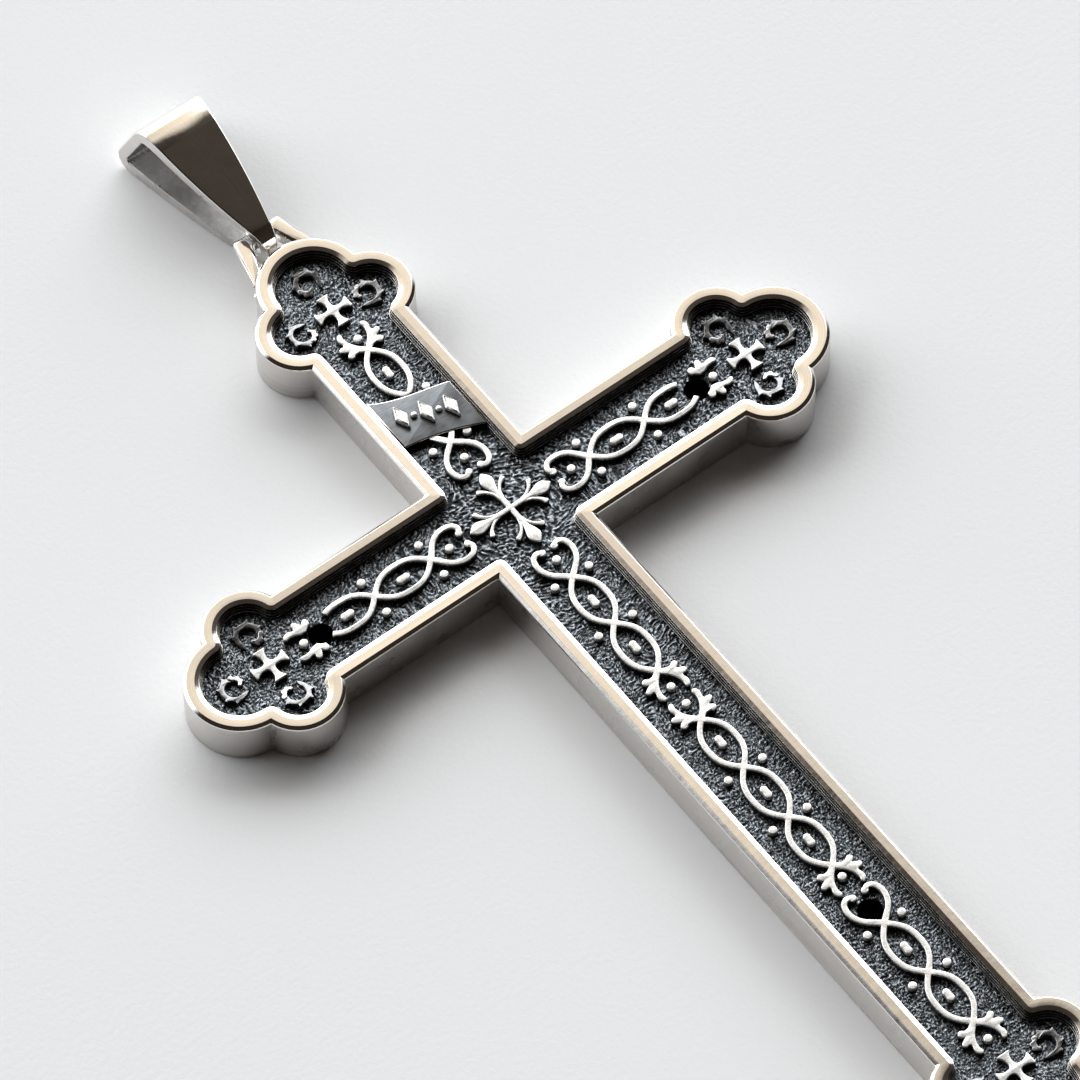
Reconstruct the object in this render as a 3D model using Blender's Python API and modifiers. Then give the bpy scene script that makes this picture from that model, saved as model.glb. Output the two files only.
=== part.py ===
"""Pendant cross with trefoil ends, relief scrollwork and a tapered bail, lying on its back.

Run with: blender --background --python part.py

The driving dimensions are in millimetres and become metres where a point enters Blender.
The origin is on the back face under the crossing, +Y points to the bail, +X to the right
arm and +Z out of the front. On an arm, u runs outwards from the crossing and v across it.
"""

from math import asin, atan2, cos, hypot, pi, radians, sin, sqrt

import bmesh
import bpy
from mathutils import Matrix

MM = 0.001

# Body: distances from the crossing to the centre of each trefoil.
ARM = 16.0
FOOT = 42.9

# Plan of the rim, measured on the inner edge of its polished flat.
HALF_WIDTH = 2.64
END_LOBE_U = 1.87
END_LOBE_R = 2.46
SIDE_LOBE_U = -0.21
SIDE_LOBE_V = 2.35
SIDE_LOBE_R = 1.84
CUSP_FILLET = 0.32
CROSSING_FILLET = 0.16
SMALLEST_FILLET = 0.10

# Section of the rim: (offset outwards from that inner edge, height), once round.
RIM_TOP = 2.90
INNER_WALL = -0.38
OUTER_WALL = 0.66
RIM_SECTION = (
    (INNER_WALL, 0.0),
    (INNER_WALL, 2.36),
    (-0.32, 2.36),
    (-0.32, 2.70),
    (-0.26, 2.70),
    (-0.26, 2.86),
    (0.0, RIM_TOP),
    (0.46, RIM_TOP),
    (OUTER_WALL, 2.75),
    (OUTER_WALL, 0.0),
)

# Ground and relief.
FIT_GAP = 0.03
FIELD_TOP = 2.06
RELIEF_TOP = 2.52
PIN_HOLE_R = 0.70
PIN_HOLE_U = 12.64
FOOT_HOLE_U = 30.96

# Beads and seeds standing on the ground, by their distance from the crossing.
BEAD_R = 0.227
BEAD_RISE = 0.17
BEAD_PAIR_V = 1.14
SEED_HALF_LENGTH = 0.40
SEED_HALF_WIDTH = 0.21
SIDE_BEADS = (4.10, 13.76)
SIDE_PAIRS = (5.30, 9.12)
SIDE_SEEDS = (7.17, 10.88)
TOP_BEADS = (4.10, 13.74)
TOP_PAIRS = (5.38,)
TOP_SEEDS = (10.98,)
TOP_SINGLE_BEAD = (1.14, 9.08)
SHAFT_BEADS = (4.08, 14.06, 15.36, 28.59, 40.66)
SHAFT_PAIRS = (5.44, 9.26, 20.43, 24.22, 32.14, 35.89)
SHAFT_SEEDS = (7.34, 10.94, 18.32, 22.19, 25.82, 33.94, 37.44)

# Scrollwork: two strands that cross and part again.
STRAND = 0.33
LENS_HALF_HEIGHT = 0.90
LENS_FULLNESS = 0.073
NOTCH = 0.232
LENS_STEPS = 8
SIDE_CROSSINGS = (5.33, 9.06)
TOP_HEART_CROSSING = 5.33
TOP_CROSSINGS = (9.06, 12.78)
SHAFT_UPPER_CROSSINGS = (5.50, 9.14, 12.88)
SHAFT_MIDDLE_CROSSINGS = (16.64, 20.30, 24.13, 27.79)
SHAFT_LOWER_CROSSINGS = (32.14, 35.78, 39.46)
DRILLED_CROSSING = 12.78
TOP_CUT = 0.10

# Heart strand: (distance back from its crossing, v), from the crossing to the curl's end.
HEART_STRAND = (
    (0.0, 0.0),
    (0.59, 0.69),
    (1.04, 1.02),
    (1.54, 1.15),
    (2.03, 1.06),
    (2.26, 0.83),
    (2.29, 0.61),
    (2.16, 0.38),
)

# Leaf end: (distance past its crossing, v), from the outer notch to the inner fork.
LEAF = (
    (0.14, 0.50),
    (0.14, 0.74),
    (0.00, 0.92),
    (0.06, 1.08),
    (0.24, 1.13),
    (0.45, 1.00),
    (0.62, 1.17),
    (0.78, 1.30),
    (0.92, 1.24),
    (0.96, 1.08),
    (1.02, 1.01),
    (1.26, 1.03),
    (1.54, 0.97),
    (1.71, 0.77),
    (1.67, 0.66),
    (1.42, 0.68),
    (1.08, 0.63),
    (0.80, 0.51),
    (0.51, 0.30),
)

# Half of one arm of the centre ornament: (distance from the centre, v).
FLEURON_HALF = (
    (0.27, 0.27),
    (0.64, 0.24),
    (0.96, 0.29),
    (1.18, 0.48),
    (1.38, 0.77),
    (1.57, 0.96),
    (1.76, 0.99),
    (1.80, 0.80),
    (1.66, 0.61),
    (1.47, 0.32),
    (1.25, 0.11),
    (1.60, 0.19),
    (2.08, 0.29),
    (2.35, 0.24),
)
FLEURON_TIP = 2.65

# Small cross patee: half of one arm, (distance from its centre, v).
PATEE_HALF = ((0.22, 0.22), (0.45, 0.19), (0.75, 0.23), (1.02, 0.34))
PATEE_TIP = 0.98

# Thorned crescent: (angle from the ring's opening, radius) once round its outer edge.
CRESCENT_OUTER = (
    (42, 0.66),
    (70, 0.74),
    (105, 0.72),
    (130, 0.92),
    (140, 0.74),
    (157, 1.00),
    (171, 0.80),
    (194, 0.80),
    (208, 0.96),
    (214, 0.70),
    (238, 0.64),
    (256, 0.74),
    (268, 1.02),
    (275, 0.82),
    (296, 0.87),
    (314, 0.96),
    (319, 0.75),
    (336, 0.92),
    (357, 0.76),
    (366, 0.36),
)
CRESCENT_INNER_R = 0.465
CRESCENT_END_U = 2.36
CRESCENT_SIDE_U = -0.17
CRESCENT_SIDE_V = 2.30

# Slanted plaque on the upper arm: cubic edges from its left end to its right end.
PLAQUE_TOP = 2.64
PLAQUE_UPPER_EDGE = ((-2.23, 9.97), (-0.90, 9.05), (0.74, 8.92), (2.23, 8.45))
PLAQUE_LOWER_EDGE = ((-2.23, 6.42), (-0.74, 6.24), (0.74, 5.78), (2.23, 5.02))
PLAQUE_STEPS = 10
LOZENGE_CENTRES = ((-1.30, 8.02), (0.0, 7.52), (1.30, 7.00))
LOZENGE_HALF_WIDTH = 0.40
LOZENGE_HALF_HEIGHT = 0.86
LOZENGE_TOP = 2.88
PEARL_CENTRES = ((-0.65, 7.77), (0.65, 7.26))
PEARL_R = 0.18
PEARL_RISE = 0.06

# Lug on the top lobe.
LUG_Z = (0.95, 1.95)
LUG_BAR_Y = (22.55, 23.30)
LUG_OUTER_HALF_WIDTH = 1.62
LUG_INNER_HALF_WIDTH = 0.78
LUG_FOOT_ANGLES = (42.5, 63.5)
LUG_CORNER = 0.30
LUG_BEVEL = 0.08

# Bail: a strap bent round the lug's bar and round a wide open end.
HINGE_Y = 22.925
HINGE_Z = 1.45
# Rounds of the bail's side view: (y, z, outer radius, strap thickness).
BAIL_ROUNDS = (
    (HINGE_Y, HINGE_Z, 1.35, 0.55),
    (31.75, 0.95, 0.92, 0.75),
    (30.54, 2.94, 1.20, 0.75),
    (30.20, -0.86, 5.00, 0.75),
)
BAIL_WIDTH_Y = 22.75
BAIL_HALF_WIDTH = 0.69
BAIL_TAPER = 0.227
BAIL_BULGE = 0.008
BAIL_SPLAY = 0.060
BAIL_HEIGHT = 4.14
BAIL_ARC_STEPS = 16

PARTS = "pendant_cross"
CUTTERS = "cutters"


# ---------------------------------------------------------------- scene and materials


def clear_scene():
    for obj in list(bpy.data.objects):
        bpy.data.objects.remove(obj, do_unlink=True)


def new_collection(name):
    collection = bpy.data.collections.new(name)
    bpy.context.scene.collection.children.link(collection)
    return collection


def silver(name, colour, roughness):
    """A silver finish: polished, oxidised or satin, by its colour and roughness."""
    material = bpy.data.materials.new(name)
    material.use_nodes = True
    shader = material.node_tree.nodes["Principled BSDF"]
    shader.inputs["Base Color"].default_value = (*colour, 1.0)
    shader.inputs["Metallic"].default_value = 1.0
    shader.inputs["Roughness"].default_value = roughness
    material.diffuse_color = (*colour, 1.0)
    return material


# ---------------------------------------------------------------- plane geometry, in mm


def arc(centre, radius, start, end, steps):
    """Points on a circle from one angle to another, both ends included."""
    angles = [start + (end - start) * i / steps for i in range(steps + 1)]
    return [(centre[0] + radius * cos(a), centre[1] + radius * sin(a)) for a in angles]


def direction(start, end):
    return atan2(end[1] - start[1], end[0] - start[0])


def mirrored(points):
    """The same points across the arm's axis, in reverse order."""
    return [(u, -v) for u, v in reversed(points)]


def moved(points, centre):
    return [(centre[0] + u, centre[1] + v) for u, v in points]


def turned(points, angle):
    """The points turned about the origin."""
    c, s = cos(angle), sin(angle)
    return [(c * u - s * v, s * u + c * v) for u, v in points]


def smooth_path(points, steps):
    """A Catmull-Rom curve through the points, with a number of steps in each span."""
    knots = [points[0], *points, points[-1]]
    path = []
    for a, b, c, d in zip(knots, knots[1:], knots[2:], knots[3:]):
        for i in range(steps):
            t = i / steps
            path.append(tuple(
                0.5 * (2 * q + (r - p) * t + (2 * p - 5 * q + 4 * r - s) * t * t
                       + (3 * q - p - 3 * r + s) * t * t * t)
                for p, q, r, s in zip(a, b, c, d)
            ))
    path.append(points[-1])
    return path


def beside(path, distance):
    """The path moved sideways, to its left for a positive distance."""
    edge = []
    for i, (u, v) in enumerate(path):
        before = path[max(i - 1, 0)]
        after = path[min(i + 1, len(path) - 1)]
        heading = direction(before, after)
        edge.append((u - distance * sin(heading), v + distance * cos(heading)))
    return edge


def bezier(p0, p1, p2, p3, steps):
    points = []
    for i in range(steps + 1):
        t = i / steps
        weights = ((1 - t) ** 3, 3 * t * (1 - t) ** 2, 3 * t * t * (1 - t), t ** 3)
        points.append(tuple(
            sum(w * p[k] for w, p in zip(weights, (p0, p1, p2, p3))) for k in range(2)
        ))
    return points


# ---------------------------------------------------------------- plan of the cross


def lobe_meeting(centre_a, radius_a, centre_b, radius_b):
    """The outer point at two distances from two centres."""
    gap = hypot(centre_b[0] - centre_a[0], centre_b[1] - centre_a[1])
    along = (gap * gap + radius_a * radius_a - radius_b * radius_b) / (2 * gap)
    across = sqrt(radius_a * radius_a - along * along)
    c, s = cos(direction(centre_a, centre_b)), sin(direction(centre_a, centre_b))
    return (centre_a[0] + c * along - s * across, centre_a[1] + s * along + c * across)


def arm_outline(length, offset):
    """One arm and its trefoil, from the crossing's corner round to the other side."""
    half = HALF_WIDTH + offset
    corner = max(CROSSING_FILLET - offset, SMALLEST_FILLET)
    cusp = max(CUSP_FILLET - offset, SMALLEST_FILLET)
    side_r = SIDE_LOBE_R + offset
    end_r = END_LOBE_R + offset
    side = (length + SIDE_LOBE_U, SIDE_LOBE_V)
    end = (length + END_LOBE_U, 0.0)
    neck_v = half + cusp
    neck = (side[0] - sqrt((side_r + cusp) ** 2 - (neck_v - SIDE_LOBE_V) ** 2), neck_v)
    fold = lobe_meeting(side, side_r + cusp, end, end_r + cusp)

    first_half = arc(neck, cusp, -pi / 2, direction(neck, side), 3)
    first_half += arc(side, side_r, direction(side, neck), direction(side, fold), 10)[1:]
    first_half += arc(fold, cusp, direction(fold, side), direction(fold, end), 3)[1:]
    first_half += arc(end, end_r, direction(end, fold), 0.0, 6)[1:]
    corner_arc = arc((half + corner, half + corner), corner, -pi, -pi / 2, 3)
    return corner_arc + first_half + mirrored(first_half[:-1])


def cross_outline(offset):
    """The whole plan at an offset from the rim's inner edge, clockwise from above."""
    points = []
    for turn, length in ((0, ARM), (-90, FOOT), (180, ARM), (90, ARM)):
        points += turned(arm_outline(length, offset), radians(turn))
    return points


# ---------------------------------------------------------------- scroll outlines


def lens_side(start, end, side, first, last, steps):
    """One edge of the bowed strand between two crossings; side is +1 outside, -1 inside."""
    length = end - start
    points = []
    for i in range(steps + 1):
        t = first + (last - first) * i / steps
        bow = (sin(pi * t) + LENS_FULLNESS * sin(3 * pi * t)) / (1 - LENS_FULLNESS)
        rate = pi * (cos(pi * t) + 3 * LENS_FULLNESS * cos(3 * pi * t)) / (1 - LENS_FULLNESS)
        heading = atan2(LENS_HALF_HEIGHT * rate, length)
        reach = side * STRAND / 2
        points.append((
            start + length * t - reach * sin(heading),
            LENS_HALF_HEIGHT * bow + reach * cos(heading),
        ))
    return points


def lens_outside(start, end):
    """Outer edge from one crossing's notch up to, but without, the next one."""
    inset = NOTCH / (end - start) / 2
    edge = lens_side(start, end, 1, inset, 1 - inset, LENS_STEPS)
    return [(start, NOTCH)] + edge[1:-1]


def lens_hole(start, end):
    """The almond-shaped opening between two crossings."""
    inset = NOTCH / (end - start) / 2
    edge = lens_side(start, end, -1, inset, 1 - inset, LENS_STEPS)[1:-1]
    return [(start + NOTCH, 0.0)] + edge + [(end - NOTCH, 0.0)] + mirrored(edge)


def heart_half(crossing):
    """Half of a heart, from the fork at its point round the curl to the crossing's notch."""
    path = [(crossing - back, v) for back, v in smooth_path(HEART_STRAND, 2)]
    inner = beside(path, STRAND / 2)[2:]
    outer = beside(path, -STRAND / 2)[1:]
    return [(crossing - NOTCH, 0.0)] + inner + list(reversed(outer))


def leaf_half(crossing, facing):
    """Half of a pair of leaves past a crossing, from the outer notch to the fork."""
    leaf = [(crossing + facing * past, v) for past, v in LEAF]
    return leaf + [(crossing + facing * NOTCH, 0.0)]


def cut_strand(start, end, last):
    """A strand that leaves a crossing and stops where the pin hole was drilled."""
    inset = NOTCH / (end - start) / 2
    outer = lens_side(start, end, 1, inset, last, LENS_STEPS)[1:]
    inner = lens_side(start, end, -1, inset, last, LENS_STEPS)[1:]
    return [(start, NOTCH)] + outer + list(reversed(inner)) + [(start + NOTCH, 0.0)]


def closed_scroll(crossings, start, end):
    """A whole scroll: its outer loop, then one loop for each almond-shaped opening."""
    half = list(start)
    for near, far in zip(crossings, crossings[1:]):
        half += lens_outside(near, far)
    half += [(crossings[-1], NOTCH)] + end
    loops = [half + mirrored(half[1:-1])]
    loops += [lens_hole(near, far) for near, far in zip(crossings, crossings[1:])]
    return loops


def drilled_scroll():
    """The scroll of a side arm, whose last strands stop at the pin hole."""
    near, far = SIDE_CROSSINGS
    half = heart_half(near) + lens_outside(near, far)
    upper = half + cut_strand(far, DRILLED_CROSSING, 0.75)
    lower = half + cut_strand(far, DRILLED_CROSSING, 0.85)
    return [upper + mirrored(lower[1:-1]), lens_hole(near, far)]


def drilled_leaf():
    """A leaf whose root the pin hole took away."""
    root = (PIN_HOLE_U, 0.0)
    leaf = [(DRILLED_CROSSING + past, v) for past, v in LEAF[2:-1]]
    return leaf + arc(root, PIN_HOLE_R + 0.10, radians(38), radians(75), 3)


def top_inner_scroll():
    """Heart below the plaque, with the two stubs that run under it."""
    half = heart_half(TOP_HEART_CROSSING)
    stubs = []
    for last in (0.125, 0.09):
        strand = cut_strand(TOP_HEART_CROSSING, TOP_CROSSINGS[0], last)
        stubs.append([strand[0], strand[LENS_STEPS], strand[LENS_STEPS + 1], strand[-1]])
    return [half + stubs[0] + mirrored(half[1:] + stubs[1][:-1])]


def top_outer_scroll():
    """Lens and leaves above the plaque, cut square where they leave it."""
    near, far = TOP_CROSSINGS
    half = [(near + TOP_CUT, NOTCH)] + lens_outside(near, far)[1:]
    half += [(far, NOTCH)] + leaf_half(far, 1)
    return [half + mirrored(half[:-1]), lens_hole(near, far)]


# ---------------------------------------------------------------- small outlines


def four_armed(half, tip):
    """A four-armed outline from half of one arm and the distance of its tip."""
    arm = list(half) + [(tip, 0.0)] + mirrored(half[1:])
    points = []
    for turn in (0, -90, 180, 90):
        points += turned(arm, radians(turn))
    return points


def crescent_outline():
    """A thorned ring, open towards +u, with its thick head past the last thorn."""
    outer = [(r * cos(radians(a)), r * sin(radians(a))) for a, r in CRESCENT_OUTER]
    return outer + arc((0.0, 0.0), CRESCENT_INNER_R, radians(345), radians(50), 14)


def plaque_outline():
    upper = bezier(*PLAQUE_UPPER_EDGE, PLAQUE_STEPS)
    lower = bezier(*PLAQUE_LOWER_EDGE, PLAQUE_STEPS)
    return upper + list(reversed(lower))


def lozenge_outline():
    width, height = LOZENGE_HALF_WIDTH, LOZENGE_HALF_HEIGHT
    return [(width, 0.0), (0.0, height), (-width, 0.0), (0.0, -height)]


def lug_outline():
    """A loop whose two feet follow the top lobe's wall."""
    lobe = (0.0, ARM + END_LOBE_U)
    wall = END_LOBE_R + OUTER_WALL + FIT_GAP
    low, high = (radians(angle) for angle in LUG_FOOT_ANGLES)
    bar_in, bar_out = LUG_BAR_Y
    outer = (LUG_OUTER_HALF_WIDTH - LUG_CORNER, bar_out - LUG_CORNER)
    inner = (LUG_INNER_HALF_WIDTH - LUG_CORNER, bar_in - LUG_CORNER)
    right = arc(outer, LUG_CORNER, pi / 2, radians(15), 4)
    right += arc(lobe, wall, low, high, 4)
    right += arc(inner, LUG_CORNER, radians(10), pi / 2, 4)
    return right + [(-x, y) for x, y in reversed(right)]


def bail_loop(rounds):
    """The closed belt round a few circles (y, z, radius), counter-clockwise."""
    heads = []
    for (y, z, radius), (next_y, next_z, next_radius) in zip(rounds, rounds[1:] + rounds[:1]):
        gap = hypot(next_y - y, next_z - z)
        lean = asin((radius - next_radius) / gap)
        heads.append(direction((y, z), (next_y, next_z)) - pi / 2 + lean)
    points = []
    for i, (y, z, radius) in enumerate(rounds):
        sweep = (heads[i] - heads[i - 1]) % (2 * pi)
        points += arc((y, z), radius, heads[i - 1], heads[i - 1] + sweep, BAIL_ARC_STEPS)
    return points


def bail_half_width(y, z):
    """Half the strap's width, which grows towards the open end and towards the back."""
    run = y - BAIL_WIDTH_Y
    splay = BAIL_SPLAY * (1 - z / BAIL_HEIGHT)
    return BAIL_HALF_WIDTH + run * (BAIL_TAPER - BAIL_BULGE * run + splay)


# ---------------------------------------------------------------- objects


def flat_curve(name, loops, low, high):
    """A 2D curve object: closed loops, filled and extruded between two heights."""
    curve = bpy.data.curves.new(name, "CURVE")
    curve.dimensions = "2D"
    curve.fill_mode = "BOTH"
    curve.extrude = (high - low) / 2 * MM
    for loop in loops:
        spline = curve.splines.new("POLY")
        spline.points.add(len(loop) - 1)
        for point, (x, y) in zip(spline.points, loop):
            point.co = (x * MM, y * MM, 0.0, 1.0)
        spline.use_cyclic_u = True
    obj = bpy.data.objects.new(name, curve)
    obj.location.z = (low + high) / 2 * MM
    return obj


def add(obj, collection, material):
    obj.data.materials.clear()
    obj.data.materials.append(material)
    collection.objects.link(obj)
    return obj


def add_cutter(obj, collection):
    obj.hide_render = True
    obj.display_type = "WIRE"
    collection.objects.link(obj)
    return obj


def as_mesh(curve_obj, collection):
    """Replace a curve object by a welded mesh object, so that it can take a Boolean."""
    name = curve_obj.name
    collection.objects.link(curve_obj)
    bpy.context.view_layer.update()
    depsgraph = bpy.context.evaluated_depsgraph_get()
    mesh = bpy.data.meshes.new_from_object(curve_obj.evaluated_get(depsgraph))
    bm = bmesh.new()
    bm.from_mesh(mesh)
    bmesh.ops.remove_doubles(bm, verts=bm.verts, dist=0.001 * MM)
    bmesh.ops.recalc_face_normals(bm, faces=bm.faces)
    bm.to_mesh(mesh)
    bm.free()
    solid = bpy.data.objects.new(name + "_solid", mesh)
    solid.matrix_world = curve_obj.matrix_world
    bpy.data.objects.remove(curve_obj, do_unlink=True)
    solid.name = name
    return solid


def boolean(obj, operation, other):
    modifier = obj.modifiers.new(operation.lower(), "BOOLEAN")
    modifier.operation = operation
    modifier.solver = "EXACT"
    modifier.object = other


def loft(name, sections, capped):
    """A mesh through the plan's outlines at (offset, height); the arcs change radius.

    Capped, it is a solid plate. Otherwise the last outline joins the first as a ring.
    """
    bm = bmesh.new()
    rings = []
    for offset, height in sections:
        outline = cross_outline(offset)
        rings.append([bm.verts.new((x * MM, y * MM, height * MM)) for x, y in outline])
    following = rings[1:] if capped else rings[1:] + rings[:1]
    for ring, above in zip(rings, following):
        for i in range(len(ring)):
            bm.faces.new((ring[i - 1], ring[i], above[i], above[i - 1]))
    if capped:
        bm.faces.new(rings[0])
        bm.faces.new(rings[-1])
    bmesh.ops.recalc_face_normals(bm, faces=bm.faces)
    mesh = bpy.data.meshes.new(name)
    bm.to_mesh(mesh)
    bm.free()
    return bpy.data.objects.new(name, mesh)


def cylinders(name, places, radius):
    """One mesh of upright cylinders that pass right through the body."""
    bm = bmesh.new()
    for x, y in places:
        bmesh.ops.create_cone(
            bm, cap_ends=True, segments=20, radius1=radius * MM, radius2=radius * MM,
            depth=4 * RIM_TOP * MM, matrix=Matrix.Translation((x * MM, y * MM, 0.0)),
        )
    mesh = bpy.data.meshes.new(name)
    bm.to_mesh(mesh)
    bm.free()
    return bpy.data.objects.new(name, mesh)


def domes(name, places, radius, height):
    """One mesh of balls: each place is (x, y, half length along x, half length along y)."""
    bm = bmesh.new()
    for x, y, stretch_x, stretch_y in places:
        size = Matrix.Diagonal((stretch_x, stretch_y, 1.0, 1.0))
        place = Matrix.Translation((x * MM, y * MM, height * MM))
        bmesh.ops.create_uvsphere(
            bm, u_segments=10, v_segments=7, radius=radius * MM, matrix=place @ size
        )
    mesh = bpy.data.meshes.new(name)
    bm.to_mesh(mesh)
    bm.free()
    return bpy.data.objects.new(name, mesh)


def bead_places():
    """Every bead and seed on the ground, as the domes function takes them."""
    beads = [TOP_SINGLE_BEAD]
    seeds = []
    arms = (
        (0, SIDE_BEADS, SIDE_PAIRS, SIDE_SEEDS),
        (180, SIDE_BEADS, SIDE_PAIRS, SIDE_SEEDS),
        (90, TOP_BEADS, TOP_PAIRS, TOP_SEEDS),
        (-90, SHAFT_BEADS, SHAFT_PAIRS, SHAFT_SEEDS),
    )
    length = SEED_HALF_LENGTH / BEAD_R
    width = SEED_HALF_WIDTH / BEAD_R
    for turn, singles, pairs, seed_places in arms:
        row = [(u, 0.0) for u in singles]
        row += [(u, side * BEAD_PAIR_V) for u in pairs for side in (1, -1)]
        beads += turned(row, radians(turn))
        along_x = turn in (0, 180)
        stretch = (length, width) if along_x else (width, length)
        seeds += [(x, y, *stretch) for x, y in turned([(u, 0.0) for u in seed_places], radians(turn))]
    return [(x, y, 1.0, 1.0) for x, y in beads] + seeds


# ---------------------------------------------------------------- sub-parts


def make_frame(parts, material):
    """The rim: its section swept round the plan, open in the middle."""
    add(loft("cross_frame", RIM_SECTION, capped=False), parts, material)


def make_field(parts, cutters, material):
    """The sunk ground plate with its three pin holes and its beads and seeds."""
    edge = INNER_WALL - FIT_GAP
    plate = loft("field_plate", ((edge, 0.0), (edge, FIELD_TOP)), capped=True)
    drills = cylinders(
        "pin_drills", ((PIN_HOLE_U, 0.0), (-PIN_HOLE_U, 0.0), (0.0, -FOOT_HOLE_U)), PIN_HOLE_R
    )
    beads = domes("field_beads", bead_places(), BEAD_R, FIELD_TOP + BEAD_RISE)
    boolean(plate, "DIFFERENCE", add_cutter(drills, cutters))
    boolean(plate, "UNION", add_cutter(beads, cutters))
    add(plate, parts, material)


def relief(name, loops, parts, material):
    add(flat_curve(name, loops, FIELD_TOP + FIT_GAP, RELIEF_TOP), parts, material)


def make_side_scrolls(parts, material):
    for side, sign in (("right", 1), ("left", -1)):
        loops = [[(sign * u, v) for u, v in loop] for loop in drilled_scroll()]
        relief(f"scroll_{side}", loops, parts, material)
        for place, flip in (("upper", 1), ("lower", -1)):
            leaf = [(sign * u, flip * v) for u, v in drilled_leaf()]
            relief(f"leaf_{side}_{place}", [leaf], parts, material)


def make_top_scrolls(parts, material):
    for name, loops in (("inner", top_inner_scroll()), ("outer", top_outer_scroll())):
        relief(f"scroll_top_{name}", [turned(loop, pi / 2) for loop in loops], parts, material)


def make_shaft_scrolls(parts, material):
    upper, middle, lower = SHAFT_UPPER_CROSSINGS, SHAFT_MIDDLE_CROSSINGS, SHAFT_LOWER_CROSSINGS
    rising = list(reversed(leaf_half(middle[0], -1)))
    scrolls = (
        ("upper", closed_scroll(upper, heart_half(upper[0]), leaf_half(upper[-1], 1))),
        ("middle", closed_scroll(middle, rising, leaf_half(middle[-1], 1))),
        ("lower", closed_scroll(lower, heart_half(lower[0]), leaf_half(lower[-1], 1))),
    )
    for name, loops in scrolls:
        relief(f"scroll_shaft_{name}", [turned(loop, -pi / 2) for loop in loops], parts, material)


def make_trefoil_ornaments(parts, material):
    """A small cross patee and three thorned crescents in each trefoil."""
    arms = (("right", 0, ARM, 1), ("left", 0, -ARM, -1), ("top", 90, ARM, 1), ("foot", -90, FOOT, 1))
    crescents = (
        ("end", CRESCENT_END_U, 0.0),
        ("side_a", CRESCENT_SIDE_U, CRESCENT_SIDE_V),
        ("side_b", CRESCENT_SIDE_U, -CRESCENT_SIDE_V),
    )
    for arm, turn, length, sign in arms:
        middle = turned([(length, 0.0)], radians(turn))[0]
        patee = moved(four_armed(PATEE_HALF, PATEE_TIP), middle)
        relief(f"patee_{arm}", [patee], parts, material)
        for name, u, v in crescents:
            opening = direction((u, v), (0.0, 0.0))
            ring = moved(turned(crescent_outline(), opening), (u, v))
            ring = [(sign * x, y) for x, y in ring]
            ring = moved(turned(ring, radians(turn)), middle)
            relief(f"crescent_{arm}_{name}", [ring], parts, material)


def make_plaque(parts, cutters, satin, material):
    plaque = as_mesh(
        flat_curve("plaque", [plaque_outline()], FIELD_TOP + FIT_GAP, PLAQUE_TOP), parts
    )
    pearls = [(x, y, 1.0, 1.0) for x, y in PEARL_CENTRES]
    pips = domes("plaque_pearls", pearls, PEARL_R, PLAQUE_TOP + PEARL_RISE)
    boolean(plaque, "UNION", add_cutter(pips, cutters))
    add(plaque, parts, satin)
    for number, centre in enumerate(LOZENGE_CENTRES, 1):
        outline = moved(lozenge_outline(), centre)
        lozenge = flat_curve(f"lozenge_{number}", [outline], PLAQUE_TOP + FIT_GAP, LOZENGE_TOP)
        add(lozenge, parts, material)


def make_lug(parts, material):
    """The loop on the top lobe that carries the bail."""
    lug = flat_curve("top_lug", [lug_outline()], *LUG_Z)
    weld = lug.modifiers.new("weld", "WELD")
    weld.merge_threshold = 0.001 * MM
    bevel = lug.modifiers.new("bevel", "BEVEL")
    bevel.width = LUG_BEVEL * MM
    bevel.segments = 2
    bevel.angle_limit = radians(50)
    add(lug, parts, material)


def make_bail(parts, material):
    """A strap loop with its origin on the hinge, one ring of four corners at each station."""
    outside = bail_loop([(y, z, radius) for y, z, radius, _ in BAIL_ROUNDS])
    inside = bail_loop([(y, z, radius - strap) for y, z, radius, strap in BAIL_ROUNDS])
    mesh = bmesh.new()
    rings = []
    for outer, inner in zip(outside, inside):
        ring = []
        for (y, z), side in ((outer, -1), (outer, 1), (inner, 1), (inner, -1)):
            place = (side * bail_half_width(y, z), y - HINGE_Y, z - HINGE_Z)
            ring.append(mesh.verts.new([value * MM for value in place]))
        rings.append(ring)
    for i, ring in enumerate(rings):
        for k, corner in enumerate(ring):
            mesh.faces.new((rings[i - 1][k - 1], rings[i - 1][k], corner, ring[k - 1]))
    bmesh.ops.recalc_face_normals(mesh, faces=mesh.faces)
    data = bpy.data.meshes.new("bail")
    mesh.to_mesh(data)
    mesh.free()
    bail = bpy.data.objects.new("bail", data)
    bail.location = (0.0, HINGE_Y * MM, HINGE_Z * MM)
    add(bail, parts, material)


def main():
    clear_scene()
    parts = new_collection(PARTS)
    cutters = new_collection(CUTTERS)
    polished = silver("polished_silver", (0.86, 0.83, 0.77), 0.16)
    oxidised = silver("oxidised_ground", (0.24, 0.24, 0.25), 0.55)
    raised = silver("raised_silver", (0.70, 0.69, 0.66), 0.28)
    satin = silver("satin_plaque", (0.46, 0.46, 0.46), 0.42)
    make_frame(parts, polished)
    make_field(parts, cutters, oxidised)
    relief("centre_fleuron", [four_armed(FLEURON_HALF, FLEURON_TIP)], parts, raised)
    make_side_scrolls(parts, raised)
    make_top_scrolls(parts, raised)
    make_shaft_scrolls(parts, raised)
    make_trefoil_ornaments(parts, raised)
    make_plaque(parts, cutters, satin, raised)
    make_lug(parts, polished)
    make_bail(parts, polished)


main()
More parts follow.
